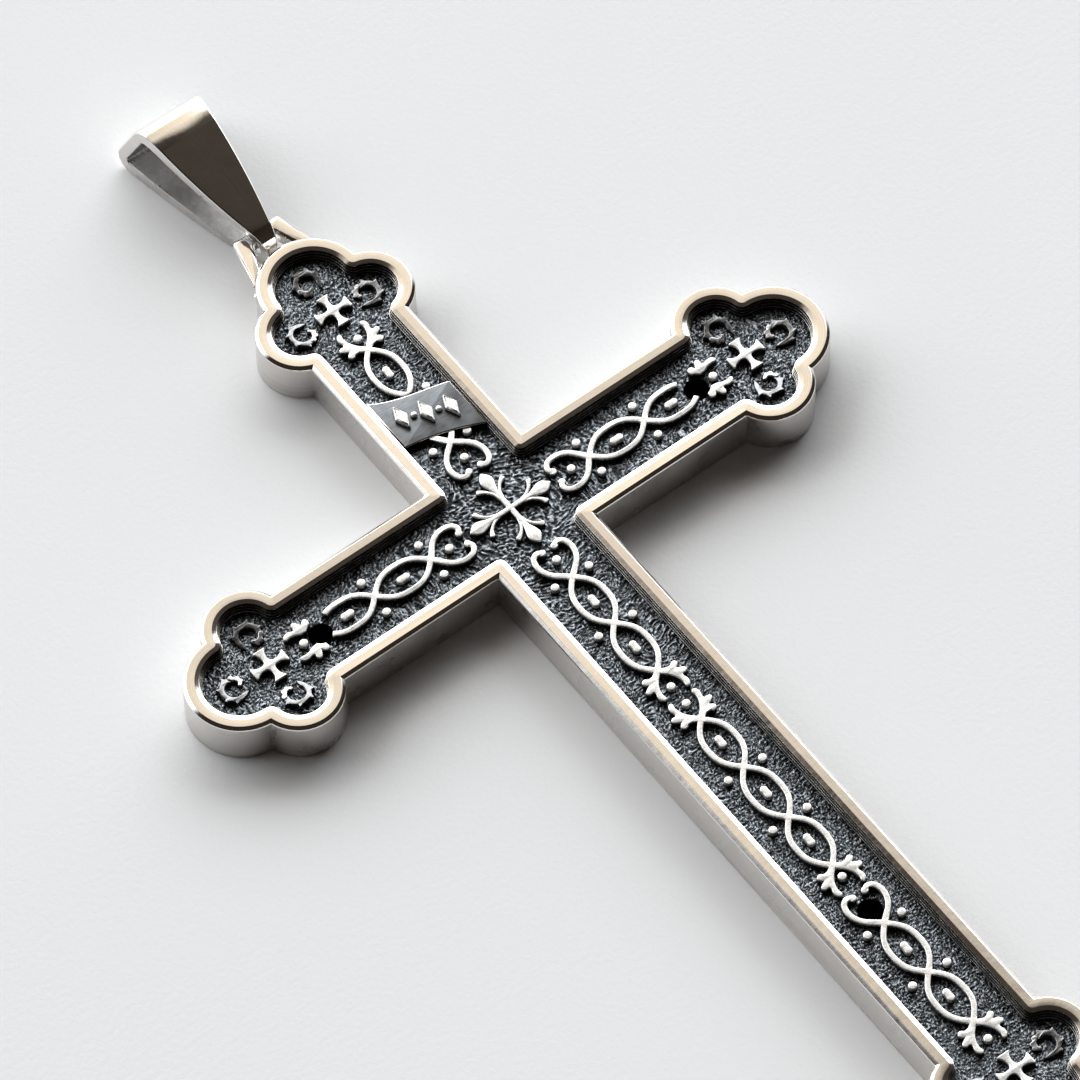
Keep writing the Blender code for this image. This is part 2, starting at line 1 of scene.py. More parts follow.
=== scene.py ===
"""Visual model of the pendant cross: fine rim, chased ground, crowned relief, lug and bail.

Dimensions are in millimetres in the frame of the CAD part: the origin is on the back face
under the crossing, +Y points to the bail, +X to the right arm and +Z out of the front.
On an arm, u runs outwards from the crossing and v across it.
"""

from math import asin, atan2, cos, hypot, pi, radians, sin, sqrt

import bpy
from mathutils import Matrix, Vector, noise
from mathutils.geometry import tessellate_polygon


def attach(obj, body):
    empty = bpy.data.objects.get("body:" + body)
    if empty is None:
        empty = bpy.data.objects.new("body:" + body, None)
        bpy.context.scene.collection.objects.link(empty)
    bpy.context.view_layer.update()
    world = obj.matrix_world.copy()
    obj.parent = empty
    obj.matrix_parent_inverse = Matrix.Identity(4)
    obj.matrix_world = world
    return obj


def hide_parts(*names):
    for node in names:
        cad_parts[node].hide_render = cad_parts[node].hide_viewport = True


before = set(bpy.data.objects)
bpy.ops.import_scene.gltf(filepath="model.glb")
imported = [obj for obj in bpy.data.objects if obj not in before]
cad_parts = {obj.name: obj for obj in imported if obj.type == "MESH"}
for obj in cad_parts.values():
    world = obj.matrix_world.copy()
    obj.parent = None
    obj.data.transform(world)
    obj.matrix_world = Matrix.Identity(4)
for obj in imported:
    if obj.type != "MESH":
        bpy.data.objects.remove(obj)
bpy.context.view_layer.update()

MM = 0.001

# ---- dimensions

ARM = 16.0
FOOT = 42.9
HALF_WIDTH = 2.64
END_LOBE_U = 1.87
END_LOBE_R = 2.46
SIDE_LOBE_U = -0.21
SIDE_LOBE_V = 2.35
SIDE_LOBE_R = 1.84
CUSP_FILLET = 0.32
CROSSING_FILLET = 0.16
SMALLEST_FILLET = 0.06

RIM_TOP = 2.90
INNER_WALL = -0.38
OUTER_WALL = 0.66
FIELD_TOP = 2.06
PLATE_TOP = 1.95
PLATE_EDGE = 0.02
PLATE_OVERLAP = 0.04
RELIEF_TOP = 2.52
RELIEF_BASE = 1.98
RELIEF_EDGE = 0.045
PIN_HOLE_R = 0.70
PIN_HOLE_U = 12.64
PIN_HOLE_STEPS = 64
# Lining of a pin hole: (distance outside the hole's radius, z).
PIN_HOLE_LIP = (
    (-0.004, 0.02), (-0.004, 2.035), (0.012, 2.066), (0.045, 2.074), (0.075, 2.060), (0.085, 2.02),
)
FOOT_HOLE_U = 30.96

BEAD_R = 0.245
BEAD_TOP = 2.46
BEAD_SUNK = 0.12
BEAD_EDGE = 0.06
BEAD_PAIR_V = 1.14
SEED_HALF_LENGTH = 0.41
SEED_HALF_WIDTH = 0.215
SIDE_BEADS = (4.10, 13.76)
SIDE_PAIRS = (5.30, 9.12)
SIDE_SEEDS = (7.17, 10.88)
TOP_BEADS = (4.10, 13.74)
TOP_PAIRS = (5.38,)
TOP_SEEDS = (10.98,)
TOP_SINGLE_BEAD = (1.14, 9.08)
SHAFT_BEADS = (4.08, 14.06, 15.36, 28.59, 40.66)
SHAFT_PAIRS = (5.44, 9.26, 20.43, 24.22, 32.14, 35.89)
SHAFT_SEEDS = (7.34, 10.94, 18.32, 22.19, 25.82, 33.94, 37.44)

STRAND = 0.31
LENS_HALF_HEIGHT = 0.90
LENS_FULLNESS = 0.073
NOTCH = 0.232
LENS_STEPS = 22
SIDE_CROSSINGS = (5.33, 9.06)
TOP_HEART_CROSSING = 5.33
TOP_CROSSINGS = (9.06, 12.78)
SHAFT_UPPER_CROSSINGS = (5.50, 9.14, 12.88)
SHAFT_MIDDLE_CROSSINGS = (16.64, 20.30, 24.13, 27.79)
SHAFT_LOWER_CROSSINGS = (32.14, 35.78, 39.46)
DRILLED_CROSSING = 12.78
TOP_CUT = 0.06

# Heart strand: (distance back from its crossing, v), from the crossing to the curl's end.
HEART_STRAND = (
    (0.0, 0.0), (0.59, 0.69), (1.04, 1.02), (1.54, 1.15), (2.03, 1.06), (2.26, 0.83),
    (2.29, 0.61), (2.16, 0.40),
)
CURL_BALL_R = 0.205

# Leaf end: (distance past its crossing, v), from the outer notch to the inner fork.
LEAF = (
    (0.14, 0.50), (0.14, 0.72), (0.02, 0.90), (0.05, 1.08), (0.22, 1.16), (0.38, 1.06),
    (0.47, 0.92), (0.55, 1.08), (0.69, 1.30), (0.86, 1.32), (0.96, 1.18), (0.95, 0.99),
    (1.07, 0.93), (1.30, 1.00), (1.56, 0.98), (1.72, 0.83), (1.71, 0.68), (1.58, 0.64),
    (1.38, 0.68), (1.08, 0.63), (0.80, 0.51), (0.51, 0.30),
)

# Centre ornament: petal and tendril as (distance from the centre, v, half width).
FLEURON_STEM = 0.15
FLEURON_TOP = 2.50
PETAL_EDGE = 0.06
TENDRIL_EDGE = 0.05
PETAL = (
    (0.00, 0.0, 0.150), (0.50, 0.0, 0.150), (0.90, 0.0, 0.150), (1.15, 0.0, 0.125),
    (1.40, 0.0, 0.170), (1.70, 0.0, 0.280), (1.95, 0.0, 0.365), (2.15, 0.0, 0.390),
    (2.35, 0.0, 0.325), (2.55, 0.0, 0.170), (2.70, 0.0, 0.020),
)
TENDRIL = (
    (0.70, 0.06, 0.090), (0.95, 0.11, 0.095), (1.20, 0.20, 0.085), (1.42, 0.34, 0.085),
    (1.60, 0.50, 0.095), (1.73, 0.67, 0.120), (1.81, 0.82, 0.145), (1.85, 0.91, 0.090),
)

# Small cross patee: half of one arm, (distance from its centre, v).
PATEE_HALF = (
    (0.22, 0.22), (0.34, 0.165), (0.52, 0.155), (0.70, 0.19), (0.86, 0.275), (0.98, 0.37),
)
PATEE_TIP = 1.065
PATEE_EDGE = 0.05

# Thorned crescent: (angle from the ring's opening, radius) round its outer edge, then round
# the crest that closes it.
CRESCENT_OUTER = (
    (36, 0.88), (48, 0.78), (78, 0.755), (90, 0.77), (112, 0.94), (116, 0.95), (121, 0.77),
    (132, 0.77), (152, 0.96), (156, 0.97), (161, 0.77), (186, 0.77), (208, 0.95), (212, 0.96),
    (217, 0.77), (240, 0.78), (259, 0.96), (263, 0.97), (268, 0.79), (290, 0.80),
)
CRESCENT_INNER_R = 0.50
CRESCENT_INNER_SWEEP = (290, 62)
CRESCENT_TAIL = (42, 0.66)
THORN_CURVE = 2.2
CRESCENT_HEAD = (
    (276, 0.74), (284, 0.84), (296, 0.87), (305, 0.78), (314, 0.87), (324, 0.88), (331, 0.78),
    (339, 0.82), (347, 0.77), (352, 0.64), (2, 0.53), (8, 0.41), (356, 0.33), (340, 0.36),
    (332, 0.47), (312, 0.52), (292, 0.54), (280, 0.60),
)
CRESCENT_END_U = 2.36
CRESCENT_SIDE_U = -0.17
CRESCENT_SIDE_V = 2.21
CRESCENT_TOP = 2.36
CRESCENT_LEAN = 0.16
CRESCENT_HEAD_RISE = 0.06
CRESCENT_EDGE = 0.035
CRESCENT_HEAD_EDGE = 0.06

# Slanted plaque on the upper arm: cubic edges from its left end to its right end.
PLAQUE_TOP = 2.60
PLAQUE_UPPER_EDGE = ((-2.25, 9.98), (-0.90, 9.05), (0.74, 8.92), (2.25, 8.44))
PLAQUE_LOWER_EDGE = ((-2.25, 6.42), (-0.74, 6.24), (0.74, 5.78), (2.25, 5.01))
PLAQUE_STEPS = 40
PLAQUE_EDGE = 0.075
LOZENGE_CENTRES = ((-1.30, 8.02), (0.0, 7.52), (1.30, 7.00))
LOZENGE_HALF_WIDTH = 0.40
LOZENGE_HALF_HEIGHT = 0.86
LOZENGE_TOP = 2.90
LOZENGE_EDGE = 0.12
PEARL_CENTRES = ((-0.65, 7.77), (0.65, 7.26))
PEARL_R = 0.19
PEARL_TOP = 2.86
PEARL_EDGE = 0.14
ORNAMENT_BASE = PLAQUE_TOP - 0.05

# Lug on the top lobe.
LUG_Z = (0.95, 1.95)
LUG_BAR_Y = (22.55, 23.30)
LUG_OUTER_HALF_WIDTH = 1.62
LUG_INNER_HALF_WIDTH = 0.78
LUG_FOOT_ANGLES = (42.5, 63.5)
LUG_CORNER = 0.30
LUG_EDGE = 0.22
LUG_EDGE_STEPS = 5

# Bail.
HINGE_Y = 22.925
HINGE_Z = 1.45
# Rounds of the bail's side view: (y, z, outer radius, strap thickness).
BAIL_ROUNDS = (
    (HINGE_Y, HINGE_Z, 1.35, 0.55),
    (31.75, 0.95, 0.92, 0.75),
    (30.54, 2.94, 1.20, 0.75),
    (30.20, -0.86, 5.00, 0.75),
)
BAIL_WIDTH_Y = 22.75
BAIL_HALF_WIDTH = 0.69
BAIL_TAPER = 0.227
BAIL_BULGE = 0.008
BAIL_SPLAY = 0.060
BAIL_HEIGHT = 4.14
BAIL_EDGE = 0.11
BAIL_INNER_EDGE = 0.08
BAIL_ARC_STEPS = 40
BAIL_STRAIGHT_STEPS = 14

# Chased ground.
GRAIN_STEP = 0.052
GRAIN_DEPTH = 0.045
GRAIN_MARGIN = 0.22
GRAIN_HEADING = radians(-37)
GRAIN_WANDER = radians(30)
MARKS_ALONG = 3.9
MARKS_ACROSS = 7.6
PITS_PER_MM = 7.4


# ---- plane geometry, in mm


def arc(centre, radius, start, end, steps):
    """Points on a circle from one angle to another, both ends included."""
    angles = [start + (end - start) * i / steps for i in range(steps + 1)]
    return [(centre[0] + radius * cos(a), centre[1] + radius * sin(a)) for a in angles]


def direction(start, end):
    return atan2(end[1] - start[1], end[0] - start[0])


def mirrored(points):
    """The same points across the arm's axis, in reverse order."""
    return [(u, -v) for u, v in reversed(points)]


def polar(knots):
    """Points from (angle in degrees, radius) pairs."""
    return [(r * cos(radians(a)), r * sin(radians(a))) for a, r in knots]


def moved(points, centre):
    return [(centre[0] + u, centre[1] + v) for u, v in points]


def turned(points, angle):
    """The points turned about the origin."""
    c, s = cos(angle), sin(angle)
    return [(c * u - s * v, s * u + c * v) for u, v in points]


def smooth_path(points, steps):
    """A Catmull-Rom curve through points of any dimension, with steps in each span."""
    knots = [points[0], *points, points[-1]]
    path = []
    for a, b, c, d in zip(knots, knots[1:], knots[2:], knots[3:]):
        for i in range(steps):
            t = i / steps
            path.append(tuple(
                0.5 * (2 * q + (r - p) * t + (2 * p - 5 * q + 4 * r - s) * t * t
                       + (3 * q - p - 3 * r + s) * t * t * t)
                for p, q, r, s in zip(a, b, c, d)
            ))
    path.append(tuple(points[-1]))
    return path


def beside(path, distance):
    """The path moved sideways, to its left for a positive distance."""
    edge = []
    for i, (u, v) in enumerate(path):
        before = path[max(i - 1, 0)]
        after = path[min(i + 1, len(path) - 1)]
        heading = direction(before, after)
        edge.append((u - distance * sin(heading), v + distance * cos(heading)))
    return edge


def bezier(p0, p1, p2, p3, steps):
    points = []
    for i in range(steps + 1):
        t = i / steps
        weights = ((1 - t) ** 3, 3 * t * (1 - t) ** 2, 3 * t * t * (1 - t), t ** 3)
        points.append(tuple(
            sum(w * p[k] for w, p in zip(weights, (p0, p1, p2, p3))) for k in range(2)
        ))
    return points


def rounded(points, radii, steps, closed=False):
    """A polyline whose corners are arcs; a radius of 0 keeps the corner."""
    count = len(points)
    result = []
    for i, (point, radius) in enumerate(zip(points, radii)):
        ends = not closed and i in (0, count - 1)
        if ends or not radius:
            result.append(point)
            continue
        before, after = points[i - 1], points[(i + 1) % count]
        to_before, to_after = direction(point, before), direction(point, after)
        half = abs((to_before - to_after + pi) % (2 * pi) - pi) / 2
        back = radius / max(sin(half) / max(cos(half), 1e-6), 1e-6)
        reach = radius / sin(half)
        middle = atan2(sin(to_before) + sin(to_after), cos(to_before) + cos(to_after))
        centre = (point[0] + reach * cos(middle), point[1] + reach * sin(middle))
        first = (point[0] + back * cos(to_before), point[1] + back * sin(to_before))
        last = (point[0] + back * cos(to_after), point[1] + back * sin(to_after))
        start, end = direction(centre, first), direction(centre, last)
        sweep = (end - start + pi) % (2 * pi) - pi
        result += arc(centre, radius, start, start + sweep, steps)
    return result


def running_length(points):
    """Distances round a closed path from its first point, up to that point again."""
    run = [0.0]
    for a, b in zip(points, points[1:] + points[:1]):
        run.append(run[-1] + hypot(b[0] - a[0], b[1] - a[1]))
    return run


def signed_area(points):
    pairs = zip(points, points[1:] + points[:1])
    return sum(a[0] * b[1] - b[0] * a[1] for a, b in pairs) / 2


def tidy_loop(points, gap=0.004):
    """The loop without points that repeat the one before."""
    kept = []
    for point in points:
        if not kept or hypot(point[0] - kept[-1][0], point[1] - kept[-1][1]) > gap:
            kept.append(point)
    while hypot(kept[0][0] - kept[-1][0], kept[0][1] - kept[-1][1]) <= gap:
        kept.pop()
    return kept


def inset(loop, distance):
    """The loop moved inwards (to its left when counter-clockwise), with clamped corners."""
    count = len(loop)
    result = []
    for i in range(count):
        a, b, c = loop[i - 1], loop[i], loop[(i + 1) % count]
        first, second = direction(a, b), direction(b, c)
        normal = (-sin(first) - sin(second), cos(first) + cos(second))
        length = hypot(*normal)
        if length < 0.2:
            result.append(b)
            continue
        stretch = min(2 / length, 1.6)
        scale = distance * stretch / length
        result.append((b[0] + normal[0] * scale, b[1] + normal[1] * scale))
    return result


# ---- plan of the cross


def lobe_meeting(centre_a, radius_a, centre_b, radius_b):
    """The outer point at two distances from two centres."""
    gap = hypot(centre_b[0] - centre_a[0], centre_b[1] - centre_a[1])
    along = (gap * gap + radius_a * radius_a - radius_b * radius_b) / (2 * gap)
    across = sqrt(radius_a * radius_a - along * along)
    c, s = cos(direction(centre_a, centre_b)), sin(direction(centre_a, centre_b))
    return (centre_a[0] + c * along - s * across, centre_a[1] + s * along + c * across)


def arm_outline(length, offset):
    """One arm and its trefoil, from the crossing's corner round to the other side."""
    half = HALF_WIDTH + offset
    corner = max(CROSSING_FILLET - offset, SMALLEST_FILLET)
    cusp = max(CUSP_FILLET - offset, SMALLEST_FILLET)
    side_r = SIDE_LOBE_R + offset
    end_r = END_LOBE_R + offset
    side = (length + SIDE_LOBE_U, SIDE_LOBE_V)
    end = (length + END_LOBE_U, 0.0)
    neck_v = half + cusp
    neck = (side[0] - sqrt((side_r + cusp) ** 2 - (neck_v - SIDE_LOBE_V) ** 2), neck_v)
    fold = lobe_meeting(side, side_r + cusp, end, end_r + cusp)

    first_half = arc(neck, cusp, -pi / 2, direction(neck, side), 8)
    first_half += arc(side, side_r, direction(side, neck), direction(side, fold), 44)[1:]
    first_half += arc(fold, cusp, direction(fold, side), direction(fold, end), 8)[1:]
    first_half += arc(end, end_r, direction(end, fold), 0.0, 26)[1:]
    corner_arc = arc((half + corner, half + corner), corner, -pi, -pi / 2, 8)
    return corner_arc + first_half + mirrored(first_half[:-1])


def cross_outline(offset):
    """The whole plan at an offset from the rim's inner edge, clockwise from above."""
    points = []
    for turn, length in ((0, ARM), (-90, FOOT), (180, ARM), (90, ARM)):
        points += turned(arm_outline(length, offset), radians(turn))
    return points


def field_reach(x, y):
    """How far a point lies inside the plain union of bars and lobes; negative outside."""
    best = -9.0
    for u, v, length in ((x, y, ARM), (-x, y, ARM), (y, x, ARM), (-y, x, FOOT)):
        half = HALF_WIDTH + INNER_WALL
        if u > -half:
            best = max(best, min(half - abs(v), length - u))
        lobe_r = SIDE_LOBE_R + INNER_WALL
        side = hypot(u - length - SIDE_LOBE_U, abs(v) - SIDE_LOBE_V)
        end = hypot(u - length - END_LOBE_U, v)
        best = max(best, lobe_r - side, END_LOBE_R + INNER_WALL - end)
    return best


# ---- scroll outlines


def lens_side(start, end, side, first, last, steps):
    """One edge of the bowed strand between two crossings; side is +1 outside, -1 inside."""
    length = end - start
    points = []
    for i in range(steps + 1):
        t = first + (last - first) * i / steps
        bow = (sin(pi * t) + LENS_FULLNESS * sin(3 * pi * t)) / (1 - LENS_FULLNESS)
        rate = pi * (cos(pi * t) + 3 * LENS_FULLNESS * cos(3 * pi * t)) / (1 - LENS_FULLNESS)
        heading = atan2(LENS_HALF_HEIGHT * rate, length)
        reach = side * STRAND / 2
        points.append((
            start + length * t - reach * sin(heading),
            LENS_HALF_HEIGHT * bow + reach * cos(heading),
        ))
    return points


def lens_outside(start, end):
    inset_t = NOTCH / (end - start) / 2
    edge = lens_side(start, end, 1, inset_t, 1 - inset_t, LENS_STEPS)
    return [(start, NOTCH)] + edge[1:-1]


def lens_hole(start, end):
    """The almond-shaped opening between two crossings."""
    inset_t = NOTCH / (end - start) / 2
    edge = lens_side(start, end, -1, inset_t, 1 - inset_t, LENS_STEPS)[1:-1]
    return [(start + NOTCH, 0.0)] + edge + [(end - NOTCH, 0.0)] + mirrored(edge)


def heart_half(crossing):
    """Half of a heart, from the fork at its point round the curl's ball to the notch."""
    path = [(crossing - back, v) for back, v in smooth_path(HEART_STRAND, 6)]
    inner = beside(path, STRAND / 2)[6:-2]
    outer = beside(path, -STRAND / 2)[4:-2]
    heading = direction(path[-4], path[-1])
    ball = arc(path[-1], CURL_BALL_R, heading + radians(125), heading - radians(125), 14)
    return [(crossing - NOTCH, 0.0)] + inner + ball + list(reversed(outer))


def leaf_half(crossing, facing):
    """Half of a pair of leaves past a crossing, from the outer notch to the fork."""
    leaf = smooth_path(LEAF, 4)
    return [(crossing + facing * past, v) for past, v in leaf] + [(crossing + facing * NOTCH, 0.0)]


def cut_strand(start, end, last):
    """A strand that leaves a crossing and stops where the pin hole was drilled."""
    inset_t = NOTCH / (end - start) / 2
    outer = lens_side(start, end, 1, inset_t, last, LENS_STEPS)[1:]
    inner = lens_side(start, end, -1, inset_t, last, LENS_STEPS)[1:]
    return [(start, NOTCH)] + outer + list(reversed(inner)) + [(start + NOTCH, 0.0)]


def closed_scroll(crossings, start, end):
    """A whole scroll: its outer loop, then one loop for each almond-shaped opening."""
    half = list(start)
    for near, far in zip(crossings, crossings[1:]):
        half += lens_outside(near, far)
    half += [(crossings[-1], NOTCH)] + end
    loops = [half + mirrored(half[1:-1])]
    loops += [lens_hole(near, far) for near, far in zip(crossings, crossings[1:])]
    return loops


def drilled_scroll():
    """The scroll of a side arm, whose last strands stop at the pin hole."""
    near, far = SIDE_CROSSINGS
    half = heart_half(near) + lens_outside(near, far)
    upper = half + cut_strand(far, DRILLED_CROSSING, 0.75)
    lower = half + cut_strand(far, DRILLED_CROSSING, 0.85)
    return [upper + mirrored(lower[1:-1]), lens_hole(near, far)]


def drilled_leaf():
    """A leaf whose root the pin hole took away."""
    root = (PIN_HOLE_U, 0.0)
    leaf = [(DRILLED_CROSSING + past, v) for past, v in smooth_path(LEAF[2:-1], 4)]
    return leaf + arc(root, PIN_HOLE_R + 0.06, radians(38), radians(75), 8)


def top_inner_scroll():
    """Heart below the plaque, with the two stubs that run under it."""
    half = heart_half(TOP_HEART_CROSSING)
    stubs = []
    for last in (0.235, 0.20):
        strand = cut_strand(TOP_HEART_CROSSING, TOP_CROSSINGS[0], last)
        stubs.append([strand[0], strand[LENS_STEPS], strand[LENS_STEPS + 1], strand[-1]])
    return [half + stubs[0] + mirrored(half[1:] + stubs[1][:-1])]


def top_outer_scroll():
    """Lens and leaves above the plaque, cut square where they leave it."""
    near, far = TOP_CROSSINGS
    half = [(near + TOP_CUT, NOTCH)] + lens_outside(near, far)[1:]
    half += [(far, NOTCH)] + leaf_half(far, 1)
    return [half + mirrored(half[:-1]), lens_hole(near, far)]


# ---- small outlines


def four_armed(half, tip):
    """A four-armed outline from half of one arm and the distance of its tip."""
    arm = list(half) + [(tip, 0.0)] + mirrored(half[1:])
    points = []
    for turn in (0, -90, 180, 90):
        points += turned(arm, radians(turn))
    return points


def patee_outline():
    flare = smooth_path(PATEE_HALF, 4)
    corner = flare[-1]
    edge = [(corner[0] + 0.055, corner[1] + 0.01), (PATEE_TIP, corner[1] - 0.04)]
    return four_armed(flare + edge, PATEE_TIP)


def crescent_outline():
    """A ring, open towards +u, whose back carries thorns that lean one way."""
    outer = []
    for (a0, r0), (a1, r1) in zip(CRESCENT_OUTER, CRESCENT_OUTER[1:]):
        for i in range(5):
            t = i / 5
            ease = t ** THORN_CURVE if r1 > r0 else 1 - (1 - t) ** THORN_CURVE
            outer.append((a0 + (a1 - a0) * t, r0 + (r1 - r0) * ease))
    start, end = (radians(angle) for angle in CRESCENT_INNER_SWEEP)
    inner = arc((0.0, 0.0), CRESCENT_INNER_R, start, end, 30)
    return polar(outer) + inner + polar([CRESCENT_TAIL])


def crescent_head_outline():
    """The lobed crest that closes the ring and curls into it."""
    knots = polar(CRESCENT_HEAD)
    return smooth_path(knots + knots[:1], 4)[:-1]


def plaque_outline():
    upper = bezier(*PLAQUE_UPPER_EDGE, PLAQUE_STEPS)
    lower = bezier(*PLAQUE_LOWER_EDGE, PLAQUE_STEPS)
    return upper + list(reversed(lower))


def lug_outline():
    """A loop whose two feet run into the top lobe's wall."""
    lobe = (0.0, ARM + END_LOBE_U)
    wall = END_LOBE_R + OUTER_WALL - 0.02
    low, high = (radians(angle) for angle in LUG_FOOT_ANGLES)
    bar_in, bar_out = LUG_BAR_Y
    outer = (LUG_OUTER_HALF_WIDTH - LUG_CORNER, bar_out - LUG_CORNER)
    inner = (LUG_INNER_HALF_WIDTH - LUG_CORNER, bar_in - LUG_CORNER)
    right = arc(outer, LUG_CORNER, pi / 2, radians(15), 12)
    right += arc(lobe, wall, low, high, 12)
    right += arc(inner, LUG_CORNER, radians(10), pi / 2, 12)
    return right + [(-x, y) for x, y in reversed(right)]


# ---- materials


class Nodes:
    """Short ways to build the node tree of a material or a world."""

    def __init__(self, owner):
        owner.use_nodes = True
        self.tree = owner.node_tree
        self.place = self.tree.nodes.new("ShaderNodeTexCoord")

    def link(self, source, target):
        self.tree.links.new(source, target)

    def put(self, value, socket):
        """Links an output to the socket, or sets a number or a colour on it."""
        if hasattr(value, "is_output"):
            self.link(value, socket)
        else:
            socket.default_value = value

    def node(self, kind, **inputs):
        node = self.tree.nodes.new(kind)
        for name, value in inputs.items():
            self.put(value, node.inputs[name.replace("_", " ")])
        return node

    def math(self, operation, *values, clamp=False):
        node = self.tree.nodes.new("ShaderNodeMath")
        node.operation = operation
        node.use_clamp = clamp
        for socket, value in zip(node.inputs, values):
            self.put(value, socket)
        return node.outputs[0]

    def spread(self, value, low=0.3, high=0.7, to_low=0.0, to_high=1.0):
        """A value spread smoothly from one range over another."""
        node = self.node(
            "ShaderNodeMapRange", Value=value,
            From_Min=low, From_Max=high, To_Min=to_low, To_Max=to_high,
        )
        node.interpolation_type = "SMOOTHSTEP"
        return node.outputs["Result"]

    def blend(self, factor, first, second):
        node = self.tree.nodes.new("ShaderNodeMix")
        node.data_type = "RGBA"
        self.link(factor, node.inputs["Factor"])
        for socket, value in ((node.inputs[6], first), (node.inputs[7], second)):
            self.put(value if hasattr(value, "is_output") else (*value, 1.0), socket)
        return node.outputs[2]


class Finish(Nodes):
    """A Principled material."""

    def __init__(self, name, metallic=1.0, roughness=None):
        self.material = bpy.data.materials.new(name)
        super().__init__(self.material)
        self.shader = self.tree.nodes["Principled BSDF"]
        self.shader.inputs["Metallic"].default_value = metallic
        if roughness is not None:
            self.shader.inputs["Roughness"].default_value = roughness

    def noise(self, per_mm, detail=2.0, stretch=None, roughness=0.5, coordinate="Object",
              turn=0.0):
        """Noise with a number of cells to the millimetre, turned, then scaled on each axis."""
        source = self.place.outputs[coordinate]
        if stretch:
            rotation = (0.0, 0.0, turn)
            source = self.node(
                "ShaderNodeMapping", Vector=source, Rotation=rotation, Scale=stretch
            ).outputs[0]
        scale = per_mm / MM if coordinate == "Object" else per_mm
        return self.node(
            "ShaderNodeTexNoise", Vector=source, Scale=scale, Detail=detail, Roughness=roughness
        ).outputs["Fac"]

    def height(self):
        """Height above the back face, in millimetres."""
        split = self.node("ShaderNodeSeparateXYZ", Vector=self.place.outputs["Object"])
        return self.math("MULTIPLY", split.outputs["Z"], 1 / MM)

    def colour(self, source):
        self.link(source, self.shader.inputs["Base Color"])

    def rough(self, source):
        self.link(source, self.shader.inputs["Roughness"])

    def bump(self, *layers):
        """Bump from (height source, depth in millimetres) pairs, one on top of another."""
        normal = None
        for source, depth in layers:
            node = self.node("ShaderNodeBump", Height=source, Distance=depth * MM)
            if normal:
                self.link(normal, node.inputs["Normal"])
            normal = node.outputs[0]
        self.link(normal, self.shader.inputs["Normal"])


def polished_finish():
    """Mirror silver with faint polishing lines along the rim and slow unevenness."""
    finish = Finish("polished_silver")
    streaks = finish.noise(1.0, 4.0, (60.0, 22000.0, 1.0), 0.6, "UV")
    cloud = finish.noise(0.9, 3.0)
    finish.colour(finish.blend(
        finish.spread(streaks), (0.90, 0.865, 0.82), (0.97, 0.945, 0.91)
    ))
    finish.rough(finish.spread(cloud, 0.3, 0.7, 0.06, 0.10))
    finish.bump((streaks, 0.0008), (cloud, 0.008))
    return finish.material


def satin_wall_finish():
    """Brushed side wall, with painted shade darkening its colour towards its foot."""
    finish = Finish("satin_wall")
    streaks = finish.noise(1.0, 5.0, (150.0, 9000.0, 1.0), 0.65, "UV")
    cloud = finish.noise(0.7, 3.0)
    # Painted shade: the colour runs from light grey at the top of the wall to darker grey at its
    # foot, standing in for the shadowed floor the wall reflects there.
    shaded_base = finish.blend(
        finish.spread(finish.height(), 0.0, 2.6), (0.56, 0.53, 0.50), (0.74, 0.71, 0.68)
    )
    finish.colour(finish.blend(finish.spread(streaks, 0.35, 0.65), shaded_base, (0.70, 0.675, 0.65)))
    finish.rough(finish.spread(cloud, 0.3, 0.7, 0.26, 0.38))
    finish.bump((streaks, 0.003), (cloud, 0.012))
    return finish.material


def ledge_finish():
    """Stepped inner moulding: rubbed bright on its edges, oxidised in between."""
    finish = Finish("moulding")
    rub = finish.noise(1.0, 4.0, (110.0, 9000.0, 1.0), 0.6, "UV")
    patches = finish.noise(1.6, 4.0)
    worn = finish.math(
        "ADD", finish.spread(rub), finish.spread(patches, 0.4, 0.7), clamp=True
    )
    finish.colour(finish.blend(worn, (0.30, 0.29, 0.28), (0.80, 0.78, 0.75)))
    finish.rough(finish.spread(patches, 0.3, 0.7, 0.14, 0.26))
    finish.bump((rub, 0.003))
    return finish.material


def oxidised_wall_finish():
    """Inner wall below the moulding, almost black."""
    finish = Finish("oxidised_wall")
    cloud = finish.noise(3.0, 5.0)
    grain = finish.noise(14.0, 3.0)
    finish.colour(finish.blend(
        finish.spread(cloud, 0.35, 0.7), (0.010, 0.010, 0.011), (0.035, 0.035, 0.037)
    ))
    finish.rough(finish.spread(grain, 0.3, 0.7, 0.32, 0.52))
    finish.bump((grain, 0.010), (cloud, 0.012))
    return finish.material


def ground_finish():
    """Chased ground: oxidised in its hollows, steel grey on the tool marks' crests."""
    finish = Finish("chased_ground")
    fine = finish.noise(9.0, 3.0, (0.45, 1.0, 0.3), 0.6, turn=-GRAIN_HEADING)
    cloud = finish.noise(0.35, 3.0)
    crest = finish.spread(finish.height(), FIELD_TOP - 0.012, FIELD_TOP + 0.030)
    crest = finish.math("MULTIPLY", crest, finish.spread(fine, 0.28, 0.60), clamp=True)
    dark = finish.blend(
        finish.spread(cloud, 0.35, 0.65), (0.014, 0.015, 0.017), (0.034, 0.037, 0.041)
    )
    finish.colour(finish.blend(crest, dark, (0.46, 0.50, 0.54)))
    finish.rough(finish.spread(fine, 0.3, 0.7, 0.30, 0.48))
    finish.bump((fine, 0.022))
    return finish.material


